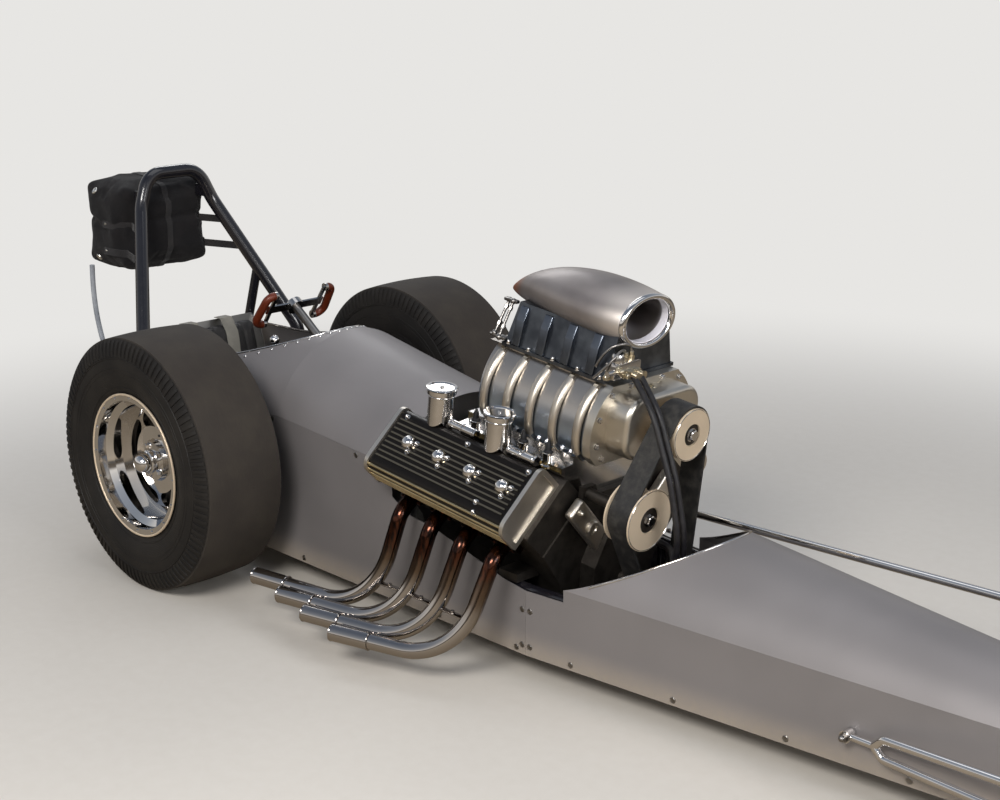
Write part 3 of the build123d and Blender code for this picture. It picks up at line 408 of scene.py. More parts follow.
# %% Rubber
def rubber(name, axis_x, axis_z, tread_r):
    """A tyre: fine rings on the sidewall, a scuffed and dusty tread."""
    look = Look(name, Specular_IOR_Level=0.35)
    x, y, z = look.xyz()
    dx, dz = x - axis_x, z - axis_z
    r = (dx * dx + dz * dz) ** 0.5
    tread = r.step(tread_r - 0.012, tread_r - 0.004)
    cloud = look.noise(9, 5, 0.6)
    grain = look.noise(380, 3, 0.6)
    scuff = look.noise(30, 4, 0.6, (1, 14, 1))
    worn = look.mix(tint("342e29"), tint("3b352e"), cloud.step(0.3, 0.7))
    wall = look.mix(tint("161413"), tint("211e1b"), cloud.step(0.35, 0.7))
    look.set(Base_Color=look.mix(wall, worn, tread * (0.6 + scuff * 0.4)))
    look.set(Roughness=0.60 + tread * 0.2 + (grain - 0.5) * 0.2)
    rings = ((r * 1250).sin() * 0.5 + 0.5) * (1 - tread) * (1 - (r - tread_r * 0.68).step(0.0, 0.02))
    look.bump(grain * 0.35 + rings * 0.8 + scuff * tread * 0.4, 0.0006)
    return look


SLICK_RADIUS = 0.395
slick = rubber("slick_rubber", REAR_AXLE_X, SLICK_RADIUS, SLICK_RADIUS)
front_rubber = rubber("front_tyre_rubber", 1.935, 0.285, 0.285)


def plain_rubber(name, code, scale=60):
    look = Look(name, Specular_IOR_Level=0.4)
    cloud = look.noise(scale, 4, 0.6)
    look.set(Base_Color=look.mix(tint(code), tint("3a3733"), cloud.step(0.4, 0.9) * 0.6))
    look.set(Roughness=0.5 + (cloud - 0.5) * 0.3)
    return look.bump(look.noise(500, 2), 0.0002)


hose = plain_rubber("hose_rubber", "17161a")
black_plastic = plain_rubber("black_caps", "141417", 120)


def belt_look():
    look = Look("drive_belt", Specular_IOR_Level=0.35)
    x, y, z = look.xyz()
    along = (x * math.cos(math.radians(6)) - z * math.sin(math.radians(6)))
    cord = ((along * 1900).sin() * 0.5 + 0.5)
    cloud = look.noise(40, 4, 0.6)
    look.set(Base_Color=look.mix(tint("1b1b1c"), tint("3b3936"), cloud.step(0.35, 0.8)))
    look.set(Roughness=0.55 + (cloud - 0.5) * 0.25)
    return look.bump(cord, 0.0003)


belt = belt_look()
print("rubber looks:", 5)


# %% Cloth, webbing and vinyl
def woven(name, code, high, scale, rough=0.85, sheen=0.15):
    """Two crossed sets of threads, told apart by a wave along each axis."""
    look = Look(name, Sheen_Weight=sheen, Sheen_Roughness=0.5, Specular_IOR_Level=0.25)
    x, y, z = look.xyz()
    warp = ((x + z) * scale).sin() * 0.5 + 0.5
    weft = ((y * 1.31 + z * 0.83 - x * 0.4) * scale).sin() * 0.5 + 0.5
    thread = warp.math("MAXIMUM", warp * 0.9, weft)
    cloud = look.noise(14, 5, 0.6)
    fade = look.mix(tint(code), tint(high), cloud.step(0.35, 0.75) * 0.6 + thread * 0.2)
    look.set(Base_Color=fade)
    look.set(Roughness=rough + (cloud - 0.5) * 0.15)
    return look.bump(thread * 0.6 + look.noise(120, 3) * 0.8, 0.0005)


pack_cloth = woven("pack_cloth", "111012", "1f1c1d", 4200, 0.88, 0.06)
webbing = woven("black_webbing", "1e1d1f", "343130", 3000)
tether_weave = woven("tether_weave", "7b8088", "b6babf", 1400, 0.8)
harness = woven("harness_webbing", "77746c", "98948a", 3000)


def vinyl(name, code):
    look = Look(name, Specular_IOR_Level=0.45)
    grain = look.node("ShaderNodeTexVoronoi", {"feature": "DISTANCE_TO_EDGE"},
                      {"Vector": look.spot(), "Scale": 420.0})
    cloud = look.noise(20, 4)
    look.set(Base_Color=look.mix(tint(code), tint("34312f"), cloud.step(0.4, 0.8) * 0.7))
    look.set(Roughness=0.44 + (cloud - 0.5) * 0.2)
    return look.bump(grain.step(0.0, 0.12), 0.0004)


seat_vinyl = vinyl("seat_vinyl", "1c1a1a")


def two_tone(name, far, near, rough_far, rough_near, limit):
    """Bare metal near the car's middle, and a covering beyond a distance from it."""
    look = Look(name)
    x, y, z = look.xyz()
    edge = abs(y).step(limit, limit + 0.003)
    cloud = look.noise(40, 4)
    look.set(Base_Color=look.mix(tint(near), tint(far), edge))
    look.set(Metallic=1 - edge * 0.85)
    look.set(Roughness=rough_near + edge * (rough_far - rough_near) + (cloud - 0.5) * 0.1)
    return look


grip = two_tone("wheel_grips", "622713", "c4c2bf", 0.40, 0.18, 0.103)
print("cloth, vinyl and grip looks are ready")

# %% [markdown]
# ## Dressing the CAD parts
#
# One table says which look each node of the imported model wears.

# %% Looks for the CAD nodes
DRESS = {
    silver: "side_panels cowl nose_shell tail_panel",
    scoop_paint: "scoop",
    brushed: "belly_pan firewall seat_shell",
    black_tube: "frame_lower frame_upper roll_hoop",
    chrome: "brake_lever front_axle radius_rods drag_link tie_rod rear_wheel_right "
            "rear_wheel_left front_wheel_right front_wheel_left",
    polished: "breathers intake_manifold",
    blower_metal: "blower_case",
    cast: "blower_front fuel_pump",
    rough_cast: "bellhousing magneto",
    steel: "steering_column pitman_arm spindle_right spindle_left",
    iron: "engine_block cylinder_heads rear_axle_housing rear_drum_right rear_drum_left",
    machined: "drive_pulleys",
    covers: "valve_covers",
    header_metal: "header_right header_left",
    belt: "blower_belt",
    hose: "fuel_hoses",
    slick: "rear_tyre_right rear_tyre_left",
    front_rubber: "front_tyre_right front_tyre_left",
    grip: "steering_wheel",
    pack_cloth: "chute_pack",
    tether_weave: "chute_tether",
    seat_vinyl: "seat_cushion",
    injector_metal: "injector_body",
}
for look, names in DRESS.items():
    for name in names.split():
        materials = nodes[name].data.materials
        materials.clear()
        materials.append(look.material)
print("dressed", sum(len(names.split()) for names in DRESS.values()), "of", len(nodes), "nodes")

# %% [markdown]
# ## Shapes made in mesh code
#
# Each adder puts one closed shape into a bmesh and returns its vertices. A piece may hold many
# of them, so a hundred rivets are one object.


# %% Adders
def settle(bm, verts, matrix):
    bmesh.ops.transform(bm, matrix=matrix, verts=verts)
    return verts


def add_block(bm, size, matrix, bevel=0.0, segments=2):
    """A block whose underside sits on the matrix."""
    made = bmesh.ops.create_cube(bm, size=1.0)["verts"]
    bmesh.ops.scale(bm, vec=size, verts=made)
    bmesh.ops.translate(bm, vec=(0, 0, size[2] / 2), verts=made)
    if bevel:
        edges = list({e for v in made for e in v.link_edges})
        grown = bmesh.ops.bevel(bm, geom=edges, offset=bevel, segments=segments, affect="EDGES",
                                profile=0.5, material=-1)
        made = list({v for f in grown["faces"] for v in f.verts} | {v for v in made if v.is_valid})
    return settle(bm, made, matrix)


def add_disc(bm, radius, height, matrix, sides=24, top=None):
    """A cylinder or cone that stands on the matrix."""
    made = bmesh.ops.create_cone(bm, cap_ends=True, segments=sides, radius1=radius,
                                 radius2=radius if top is None else top, depth=height)["verts"]
    bmesh.ops.translate(bm, vec=(0, 0, height / 2), verts=made)
    return settle(bm, made, matrix)


def add_turned(bm, profile, matrix, steps=32):
    """A closed outline of (radius, height) pairs spun about Z."""
    ring = [bm.verts.new((max(r, 0.0), 0, z)) for r, z in profile]
    edges = [bm.edges.new((a, b)) for a, b in zip(ring, ring[1:])]
    if min(profile[0][0], profile[-1][0]) > 1e-9:
        edges.append(bm.edges.new((ring[-1], ring[0])))
    before = set(bm.verts) - set(ring)
    bmesh.ops.spin(bm, geom=ring + edges, cent=(0, 0, 0), axis=(0, 0, 1), angle=2 * math.pi,
                   steps=steps, use_merge=True, dvec=(0, 0, 0))
    made = [v for v in bm.verts if v not in before]
    bmesh.ops.remove_doubles(bm, verts=made, dist=1e-7)
    made = [v for v in bm.verts if v not in before]
    return settle(bm, made, matrix)


def add_dome(bm, radius, height, matrix, steps=12):
    """A round head, flat below."""
    arc = [(radius * math.cos(a), height * math.sin(a))
           for a in (math.radians(d) for d in (0, 22, 45, 68))]
    return add_turned(bm, [(0, 0)] + arc + [(0, height)], matrix, steps)


def add_nut(bm, across, height, matrix, washer=True):
    """A hexagon with chamfered corners on a round washer."""
    if washer:
        add_disc(bm, across * 0.66, height * 0.18, matrix, 20)
    lift = Matrix.Translation((0, 0, height * 0.15))
    made = add_disc(bm, across * 0.56, height * 0.7, matrix @ lift, 6)
    lift = Matrix.Translation((0, 0, height * 0.85))
    return made + add_disc(bm, across * 0.56, height * 0.15, matrix @ lift, 6, across * 0.46)


def add_ring(bm, radius, thick, matrix, around=40, section=10):
    """A round ring of round wire, lying on the matrix."""
    profile = [(radius + thick * math.cos(a), thick * math.sin(a))
               for a in (2 * math.pi * i / section for i in range(section))]
    return add_turned(bm, profile, matrix, around)


def add_loft(bm, stations):
    """A closed solid through rows of points, each row one section of it."""
    rings = [[bm.verts.new(p) for p in row] for row in stations]
    for a, b in zip(rings, rings[1:]):
        for i in range(len(a)):
            j = (i + 1) % len(a)
            bm.faces.new((a[i], a[j], b[j], b[i]))
    bm.faces.new(rings[0])
    bm.faces.new(rings[-1])


def mirror_across(bm):
    """A second copy of everything on the car's other side."""
    copy = bmesh.ops.duplicate(bm, geom=bm.verts[:] + bm.edges[:] + bm.faces[:])
    verts = [g for g in copy["geom"] if isinstance(g, bmesh.types.BMVert)]
    bmesh.ops.scale(bm, vec=(1, -1, 1), verts=verts)


def piece(name, bm, look, body="chassis", sharp=38, both=False):
    """Turns a bmesh into an object that rides on a body."""
    if both:
        mirror_across(bm)
    bmesh.ops.recalc_face_normals(bm, faces=bm.faces[:])
    mesh = bpy.data.meshes.new(name)
    bm.to_mesh(mesh)
    bm.free()
    mesh.materials.append(look.material)
    mesh.shade_smooth()
    mesh.set_sharp_from_angle(angle=math.radians(sharp))
    thing = bpy.data.objects.new(name, mesh)
    bpy.context.scene.collection.objects.link(thing)
    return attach(thing, body)


def line(name, routes, radius, look, body="chassis", round_off=True, sides=4):
    """Thin tubes, each through its own row of points."""
    curve = bpy.data.curves.new(name, "CURVE")
    curve.dimensions = "3D"
    for route in routes:
        spline = curve.splines.new("NURBS" if round_off else "POLY")
        spline.points.add(len(route) - 1)
        for slot, p in zip(spline.points, route):
            slot.co = (*p, 1)
        if round_off:
            spline.order_u = 3
            spline.use_endpoint_u = True
            spline.resolution_u = 6
    curve.bevel_depth = radius
    curve.bevel_resolution = sides
    curve.use_fill_caps = True
    curve.materials.append(look.material)
    thing = bpy.data.objects.new(name, curve)
    bpy.context.scene.collection.objects.link(thing)
    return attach(thing, body)


def surface(*names):
    """A tree for finding points on the skin of CAD nodes."""
    verts, faces = [], []
    for name in names:
        mesh = nodes[name].data
        start = len(verts)
        verts += [v.co.copy() for v in mesh.vertices]
        faces += [[start + i for i in p.vertices] for p in mesh.polygons]
    return BVHTree.FromPolygons(verts, faces)


def seat(tree, start, aim, along=(1, 0, 0)):
    """Where a line from start along aim meets the skin: a matrix with Z off the surface."""
    aim = Vector(aim).normalized()
    hit, normal = tree.ray_cast(Vector(start), aim)[:2]
    if hit is None:
        raise ValueError(f"nothing at {tuple(start)}")
    if normal.dot(aim) > 0:
        normal = -normal
    return place(hit, normal, along)


print("adders ready")

# %% [markdown]
# ## Parachute tether
#
# The strap hangs from the pack, sags forward and ends on the cross rod behind the seat. It
# follows the route of its CAD solid.

# %% The tether
TETHER = [(-985, -160, 799.7), (-988, -160, 742), (-988, -158, 675), (-980, -156, 605),
          (-962, -153, 535), (-935, -150, 465), (-898, -147, 400), (-858, -144, 343),
          (-814, -140, 291), (-768, -136, 246), (-726, -132, 208), (-680, -130, 186.5)]
tether = line("tether", [[at(*p) for p in TETHER]], 0.009, tether_weave, sides=6)
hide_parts("chute_tether")
bare = tether.data.copy()
bare.bevel_depth = 0
probe = bpy.data.objects.new("probe", bare)
run = [v.co.copy() for v in bpy.data.meshes.new_from_object(probe).vertices]
bpy.data.objects.remove(probe)
tether_length = sum((b - a).length for a, b in zip(run, run[1:]))
at(*TETHER[0])
print("tether length", round(tether_length, 3))

# %% [markdown]
# ## Soft goods
#
# The parachute pack and the seat cushions start as blocks a little under size. Cloth with air
# pressure inside swells them, each point's travel is capped, and noise adds the wrinkles.


# %% Cloth that swells
def block_mesh(name, low, high, corner):
    bm = bmesh.new()
    size = [b - a for a, b in zip(low, high)]
    centre = [(a + b) / 2 for a, b in zip(low, high)]
    add_block(bm, size, Matrix.Translation((centre[0], centre[1], low[2])), corner, 3)
    mesh = bpy.data.meshes.new(name)
    bm.to_mesh(mesh)
    bm.free()
    return mesh


def evaluated(thing):
    bpy.context.view_layer.update()
    ready = thing.evaluated_get(bpy.context.evaluated_depsgraph_get())
    mesh = bpy.data.meshes.new_from_object(ready)
    thing.modifiers.clear()
    thing.data = mesh
    return mesh


def corners(mesh):
    flat = np.zeros(len(mesh.vertices) * 3)
    mesh.vertices.foreach_get("co", flat)
    return flat.reshape(-1, 3)


def swell(name, mesh, look, voxel, cap, pressure=4.0, shape=None):
    """A block turned into a stuffed piece. shape(points, normals) moves its points at the end."""
    thing = bpy.data.objects.new(name, mesh)
    bpy.context.scene.collection.objects.link(thing)
    grid = thing.modifiers.new("grid", "REMESH")
    grid.mode = "VOXEL"
    grid.voxel_size = voxel
    mesh = evaluated(thing)
    start = corners(mesh)
    cloth = thing.modifiers.new("cloth", "CLOTH")
    cloth.settings.quality = 4
    cloth.settings.use_pressure = True
    cloth.settings.uniform_pressure_force = pressure
    cloth.settings.effector_weights.gravity = 0
    for step in range(1, 21):
        bpy.context.scene.frame_set(step)
    mesh = evaluated(thing)
    bpy.context.scene.frame_set(1)
    moved = corners(mesh) - start
    far = np.linalg.norm(moved, axis=1, keepdims=True)
    start = start + moved * np.minimum(1, cap / np.maximum(far, 1e-9))
    if shape:
        facing = np.array([v.normal for v in mesh.vertices])
        start = shape(start, facing)
    mesh.vertices.foreach_set("co", start.ravel())
    mesh.materials.clear()
    mesh.materials.append(look.material)
    mesh.shade_smooth()
    smooth = thing.modifiers.new("smooth", "SUBSURF")
    smooth.levels = smooth.render_levels = 1
    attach(thing, "chassis")
    return thing


def tree_of(thing):
    mesh = thing.data
    return BVHTree.FromPolygons([v.co.copy() for v in mesh.vertices],
                                [list(p.vertices) for p in mesh.polygons])


def strap_over(bm, rows, width, thick):
    """A flat closed strap through rows of (point, side, up)."""
    stations = []
    for point, side, up in rows:
        half = Vector(side).normalized() * (width / 2)
        rise = Vector(up).normalized() * thick
        stations.append((point - half, point + half, point + half + rise, point - half + rise))
    add_loft(bm, stations)


print("cloth recipe ready")


# %% The parachute pack
def crumple(points, facing):
    """Soft creases, a sagging flap line round the middle and slack corners."""
    out = []
    middle = at(-863, 0, 958)
    for p, n in zip(points, facing):
        v = Vector(p)
        fold = 1 - abs(noise.noise(v * 7.5 + Vector((3, 1, 8)))) * 2.0
        fine = noise.noise(v * 26)
        flap = math.exp(-((v.z - 0.975 - 0.02 * math.sin(v.x * 16)) / 0.012) ** 2)
        sag = -0.006 * max(0.0, (1.08 - v.z) / 0.28) * max(0.0, n[2])
        push = 0.006 * fold * fold - 0.006 + 0.0022 * fine - 0.011 * flap
        out.append(v + Vector(n) * push + Vector((0, 0, sag)))
    return np.array([tuple(v) for v in out])


pack = swell("pack", block_mesh("pack", at(-994, -175, 811), at(-733, 175, 1108), 0.03),
             pack_cloth, 0.0075, 0.012, 5.0, crumple)
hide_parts("chute_pack")
pack_skin = tree_of(pack)


def band(name, y, width, look):
    """A tape round the pack, square to the car's width, lying on the cloth."""
    bm = bmesh.new()
    rows = []
    centre = at(-863, y, 958)
    for i in range(97):
        a = 2 * math.pi * i / 96
        aim = Vector((-math.cos(a), 0, -math.sin(a)))
        hit, n = pack_skin.ray_cast(centre - aim * 0.5, aim)[:2]
        if n.dot(aim) > 0:
            n = -n
        n = Vector((n.x, 0, n.z)).normalized()
        rows.append((hit + n * 0.0001, Vector((0, 1, 0)), n))
    strap_over(bm, rows, width, 0.0022)
    return piece(name, bm, look, sharp=50)


band("pack_tape_right", -0.150, 0.022, webbing)
band("pack_tape_left", 0.150, 0.022, webbing)

# four screwed grommets on each side, two of them large
grommet_nickel = metal("grommet_nickel", "e8e6e0", 0.30, 0.06, 30, 0.05)
bm = bmesh.new()
for x, z, radius in ((-915, 1074, 0.009), (-925, 838, 0.009), (-842, 965, 0.005), (-846, 872, 0.005)):
    for side in (-1, 1):
        spot = seat(pack_skin, at(x, side * 400, z), (0, -side, 0))
        add_ring(bm, radius, 0.0035, spot, 24, 8)
        add_dome(bm, 0.007, 0.004, spot)
piece("pack_grommets", bm, grommet_nickel)

# straps from the pack's sides to the hoop's legs
bm = bmesh.new()
for side in (-1, 1):
    for z, leg in ((965, (-631, 174)), (872, (-584, 208))):
        rows = []
        for x in range(-860, -744, 19):
            hit = seat(pack_skin, at(x, side * 400, z), (0, -side, 0)).translation
            rows.append((hit + Vector((0, side * 0.001, 0)), (0, 0, 1), (0, side, 0)))
        rows.append((at(leg[0] - 22, side * leg[1], z), (0, 0, 1), (0.3, side, 0)))
        strap_over(bm, rows, 0.025, 0.003)
piece("pack_straps", bm, webbing, sharp=50)

# closed lacing along the back flap
bm = bmesh.new()
eyelets = [seat(pack_skin, at(-1200, -140 + 35 * i, 978), (1, 0, 0), (0, 1, 0)) for i in range(9)]
for spot in eyelets:
    add_ring(bm, 0.006, 0.0022, spot, 20, 8)
piece("pack_eyelets", bm, brass)
laces = []
for a, b in zip(eyelets, eyelets[1:]):
    a, b = a.translation, b.translation
    out = Vector((-0.006, 0, 0))
    laces.append([a, a + out + Vector((0, 0.005, 0.008)), b + out - Vector((0, 0.005, 0.008)), b])
line("pack_lacing", laces, 0.0016, harness)
print("pack dressed")


# %% Seat cushions with sewn channels
def channels(across, count, depth, low, high):
    """Sewn grooves at even steps across the cushion, on its upper side only."""
    def shape(points, facing):
        share = np.clip((points[:, across] - low) / (high - low), 0, 1)
        groove = np.exp(-((np.abs((share * count) % 1 - 0.5) - 0.5) / 0.07) ** 2)
        top = np.clip(facing @ np.array((0.45, 0, 0.85)), 0, 1)
        return points - facing * (groove * top * depth)[:, None]
    return shape


base = swell("seat_base", block_mesh("seat_base", at(-430, -186, 168), at(-203, 186, 206), 0.014),
             seat_vinyl, 0.006, 0.008, 4.0, channels(1, 6, 0.007, -0.186, 0.186))
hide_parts("seat_cushion")


def lean_back(points, facing):
    """Leans an upright block along the seat's back."""
    rise = points[:, 2] - 0.2153
    points = points.copy()
    points[:, 0] -= rise * 0.2484
    return channels(1, 6, 0.008, -0.182, 0.182)(points, facing)


back = swell("seat_back", block_mesh("seat_back", at(-437, -182, 222), at(-390, 182, 632), 0.016),
             seat_vinyl, 0.006, 0.008, 4.0, lean_back)
print("cushions:", base.name, back.name)


# %% Shoulder and lap belts
bm = bmesh.new()
for side in (-1, 1):
    skin = tree_of(back)
    rows = []
    for i in range(12):
        z = 606 - i * 28
        hit = seat(skin, at(-200, side * (70 - i * 2), z), (-1, 0, 0)).translation
        rows.append((hit + Vector((0.0015, 0, 0)), (0, 1, 0), (1, 0, 0.25)))
    over = at(-552, side * 72, 646)
    rows.insert(0, (at(-516, side * 71, 648), (0, 1, 0), (0.5, 0, 1)))
    rows.insert(0, (over, (0, 1, 0), (-0.6, 0, 1)))
    strap_over(bm, rows, 0.048, 0.0025)
    skin = tree_of(base)
    rows = []
    for i in range(8):
        y = 178 - i * 20
        hit = seat(skin, at(-372 + i * 9, side * y, 400), (0, 0, -1)).translation
        rows.append((hit + Vector((0, 0, 0.0015)), (1, 0, 0), (0, 0, 1)))
    strap_over(bm, rows, 0.048, 0.0025)
piece("harness", bm, harness, sharp=50)
bm = bmesh.new()
spot = seat(tree_of(base), at(-318, 20, 400), (0, 0, -1))
add_block(bm, (0.062, 0.07, 0.014), spot @ Matrix.Translation((0, 0, 0.003)), 0.004)
add_block(bm, (0.03, 0.05, 0.006), spot @ Matrix.Translation((0, 0, 0.017)), 0.002)
piece("buckle", bm, steel)
print("belts done")

# %% [markdown]
# ## Wheels and tyres


# %% Knurled shoulders and rings on the slicks
def round_axle(x, z, angle):
    """A turn about a cross-car axis."""
    axis = Vector((x, 0, z))
    return Matrix.Translation(axis) @ Matrix.Rotation(angle, 4, "Y") @ Matrix.Translation(-axis)


LUGS, WHEEL_NUTS, BEAD_SCREWS = 104, 5, 16
SLICK_Y = 518


def round_the_slick(name, tree, side, body, look):
    """Lugs round both shoulders of a slick, and four thin rings round each side."""
    bm = bmesh.new()
    for face in (-1, 1):
        # one lug lies along the shoulder's curve, and the others are turned copies of it
        stations = []
        for r in (334, 346, 360, 373, 383):
            spot = seat(tree, at(0, side * SLICK_Y + face * 400, 395 + r), (0, -face, 0))
            rise = 0.0022 if r in (334, 383) else 0.0042
            stations.append([spot @ Vector(p) for p in ((-0.0064, 0, -0.003), (0.0064, 0, -0.003),
                                                        (0.0050, 0, rise), (-0.0050, 0, rise))])
        for i in range(LUGS):
            turn = round_axle(REAR_AXLE_X, SLICK_RADIUS, 2 * math.pi * i / LUGS)
            add_loft(bm, [[turn @ p for p in station] for station in stations])
        for r, thick in ((330, 2.2), (300, 1.2), (288, 0.9), (240, 1.6)):
            hit = seat(tree, at(0, side * SLICK_Y + face * 400, 395 + r), (0, -face, 0)).translation
            ring = place(Vector((REAR_AXLE_X, hit.y, SLICK_RADIUS)), (0, 1, 0))
            add_ring(bm, r / 1000, thick / 1000, ring, 96, 6)
    return piece(name, bm, look, body, sharp=30)


for side, word, body in ((-1, "right", "wheel_rr"), (1, "left", "wheel_rl")):
    round_the_slick(f"slick_lugs_{word}", surface(f"rear_tyre_{word}"), side, body, slick)
    bm = bmesh.new()
    face = place(at(0, side * (SLICK_Y + 80), 395), (0, side, 0))
    # cap: a long rounded cone on a flange
    add_turned(bm, [(0, -0.006), (0.036, -0.006), (0.036, 0.004), (0.032, 0.007), (0.031, 0.018),
                    (0.028, 0.030), (0.021, 0.039), (0.011, 0.044), (0, 0.0455)], face, 40)
    for i in range(WHEEL_NUTS):
        a = 2 * math.pi * (i + 0.5) / WHEEL_NUTS
        spot = face @ Matrix.Translation((0.047 * math.cos(a), 0.047 * math.sin(a), -0.012))
        add_nut(bm, 0.017, 0.011, spot)
    for i in range(BEAD_SCREWS):
        a = 2 * math.pi * i / BEAD_SCREWS
        spot = at(208.5 * math.cos(a), side * (SLICK_Y + 131), 395 + 208.5 * math.sin(a))
        add_nut(bm, 0.009, 0.005, place(spot, (0, side, 0)), washer=False)
    piece(f"wheel_nuts_{word}", bm, chrome, body)
    # rolled lip of the rim
    bm = bmesh.new()
    add_ring(bm, 0.2185, 0.0036, place(at(0, side * (SLICK_Y + 133), 395), (0, side, 0)), 96, 10)
    piece(f"rim_lip_{word}", bm, machined, body)
    stem = [at(150, side * (SLICK_Y + 104), 523), at(146, side * (SLICK_Y + 132), 520)]
    line(f"valve_{word}", [stem], 0.0035, black_plastic, body, round_off=False)
print("rear wheels dressed")

# %% [markdown]
# ## Engine fittings
#
# They are placed in the engine's frame or in the right-hand bank's, and mirrored where both
# banks carry them.


# %% Adders for the engine
def spot_on(where, x, y, z, up=(0, 0, 1), along=(1, 0, 0)):
    """A place given in millimetres in the engine's or the bank's frame."""
    return where @ place(Vector((x, y, z)) / 1000, up, along)


def add_bar(bm, start, end, radius, sides=16):
    """A round bar between two points in scene metres."""
    start, end = Vector(start), Vector(end)
    return add_disc(bm, radius, (end - start).length, place(start, end - start), sides)


def add_acorn(bm, radius, matrix):
    """A closed nut: a washer, a hexagon and a ball end."""
    add_disc(bm, radius * 1.25, radius * 0.25, matrix, 20)
    add_disc(bm, radius, radius * 0.9, matrix @ Matrix.Translation((0, 0, radius * 0.2)), 6)
    add_dome(bm, radius * 0.84, radius * 0.9, matrix @ Matrix.Translation((0, 0, radius)), 16)


CORNER_STEPS = 6


def soft_corners(y0, y1, z0, z1, radii):
    """A rectangle's outline with rounded corners, from the one at y1, z0 round to y0, z0."""
    turns = ((y1, z0, -1, 1), (y1, z1, -1, -1), (y0, z1, 1, -1), (y0, z0, 1, 1))
    points = []
    for i, ((y, z, in_y, in_z), r) in enumerate(zip(turns, radii)):
        for k in range(CORNER_STEPS + 1):
            a = math.radians(90 * (i - 1 + k / CORNER_STEPS))
            points.append((y + in_y * r + r * math.cos(a), z + in_z * r + r * math.sin(a)))
    return points


def add_slab(bm, outline, x0, x1, where, window=None):
    """A plate square to X with its outline in Y and Z, and perhaps a window of as many points."""
    def loop(points, x):
        return [bm.verts.new(where @ (Vector((x, y, z)) / 1000)) for y, z in points]

    back, front = loop(outline, x0), loop(outline, x1)
    steps = [(i, (i + 1) % len(outline)) for i in range(len(outline))]
    for i, j in steps:
        bm.faces.new((back[i], back[j], front[j], front[i]))
    if window is None:
        bm.faces.new(back)
        bm.faces.new(front)
        return
    back_in, front_in = loop(window, x0), loop(window, x1)
    for i, j in steps:
        bm.faces.new((back_in[i], front_in[i], front_in[j], back_in[j]))
        bm.faces.new((front[i], front[j], front_in[j], front_in[i]))
        bm.faces.new((back[i], back_in[i], back_in[j], back[j]))


print("engine adders ready")

# %% Valve covers: plug caps, closed nuts, end plates and side ribs
PORTS = [82 + 121.9 * i for i in range(4)]
bm = bmesh.new()
for x in PORTS:
    add_turned(bm, [(0, 0), (0.0200, 0), (0.0205, 0.004), (0.0190, 0.011), (0.0150, 0.0175),
                    (0.0085, 0.0215), (0, 0.0228)], spot_on(RIGHT_BANK, x, -32, 456), 36)
    for ahead, y in ((27, -25), (14, -56)):
        add_acorn(bm, 0.0064, spot_on(RIGHT_BANK, x + ahead, y, 456))
for x, y, z in ((401, -98, 455), (409, -124, 449), (20, 34, 455), (262, 34, 455), (492, 34, 455)):
    add_acorn(bm, 0.0064, spot_on(RIGHT_BANK, x, y, z))
piece("cover_caps", bm, chrome, both=True)

bm = bmesh.new()
rim = soft_corners(-147, 63, 362, 460, (6, 24, 37, 6))
inner = soft_corners(-133, 49, 376, 446, (4, 14, 26, 4))
for x0, x1, x2 in ((511, 517, 524), (-11, -17, -24)):
    add_slab(bm, rim, x0, x1, RIGHT_BANK)
    add_slab(bm, rim, x1, x2, RIGHT_BANK, inner)
piece("cover_end_plates", bm, end_plate, sharp=30, both=True)

# the side ribs wear the brassy painted reflection
bm = bmesh.new()
for y, z in ((-129, 446.5), (-139, 433), (-142.5, 415), (-142.5, 398), (-142.5, 381)):
    ends = [RIGHT_BANK @ (Vector((x, y, z)) / 1000) for x in (-11, 511)]
    add_bar(bm, *ends, 0.0044, 12)
piece("cover_side_ribs", bm, brassy_reflection_gilt, both=True)
print("valve covers fitted")

# %% Breathers: rolled lids and clamp bands, and the tubes that lie beside them
bm = bmesh.new()
for x in (110, 336):
    add_turned(bm, [(0, 0), (0.0425, 0), (0.0445, 0.003), (0.0425, 0.006), (0.0375, 0.0065),
                    (0.0345, 0.0035), (0, 0.0035)], spot_on(ENGINE, x, -262, 452), 48)
    add_ring(bm, 0.0362, 0.0021, spot_on(ENGINE, x, -262, 434), 48)
    add_nut(bm, 0.010, 0.006, spot_on(ENGINE, x, -262, 455))
    tube_start = RIGHT_BANK @ Vector(((x + 48) / 1000, 0.072, 0.447))
    tube_end = RIGHT_BANK @ Vector(((x + 150) / 1000, 0.072, 0.447))
    add_bar(bm, tube_start, tube_end, 0.0125, 24)
    for share in (0.08, 0.5, 0.92):
        spot = place(tube_start.lerp(tube_end, share), tube_end - tube_start)
        add_ring(bm, 0.0128, 0.0018, spot, 24, 8)
piece("breather_lids", bm, chrome, both=True)
print("breathers fitted")

# %% Port nozzles: turned posts with black caps
bm = bmesh.new()
caps = bmesh.new()
for i in range(4):
    x = 190 + 92 * i
    add_turned(bm, [(0, 0), (0.0165, 0), (0.0165, 0.006), (0.0130, 0.009), (0.0130, 0.034),
                    (0.0148, 0.036), (0.0148, 0.041), (0.009, 0.044), (0, 0.044)],
               spot_on(ENGINE, x, -203, 331), 28)
    add_turned(caps, [(0, 0), (0.0132, 0), (0.0132, 0.006), (0.0088, 0.010), (0.0074, 0.024),
                      (0.0032, 0.036), (0, 0.037)], spot_on(ENGINE, x, -203, 370), 24)
piece("nozzle_posts", bm, chrome, both=True)
piece("nozzle_caps", caps, black_plastic, both=True)
print("port nozzles fitted")

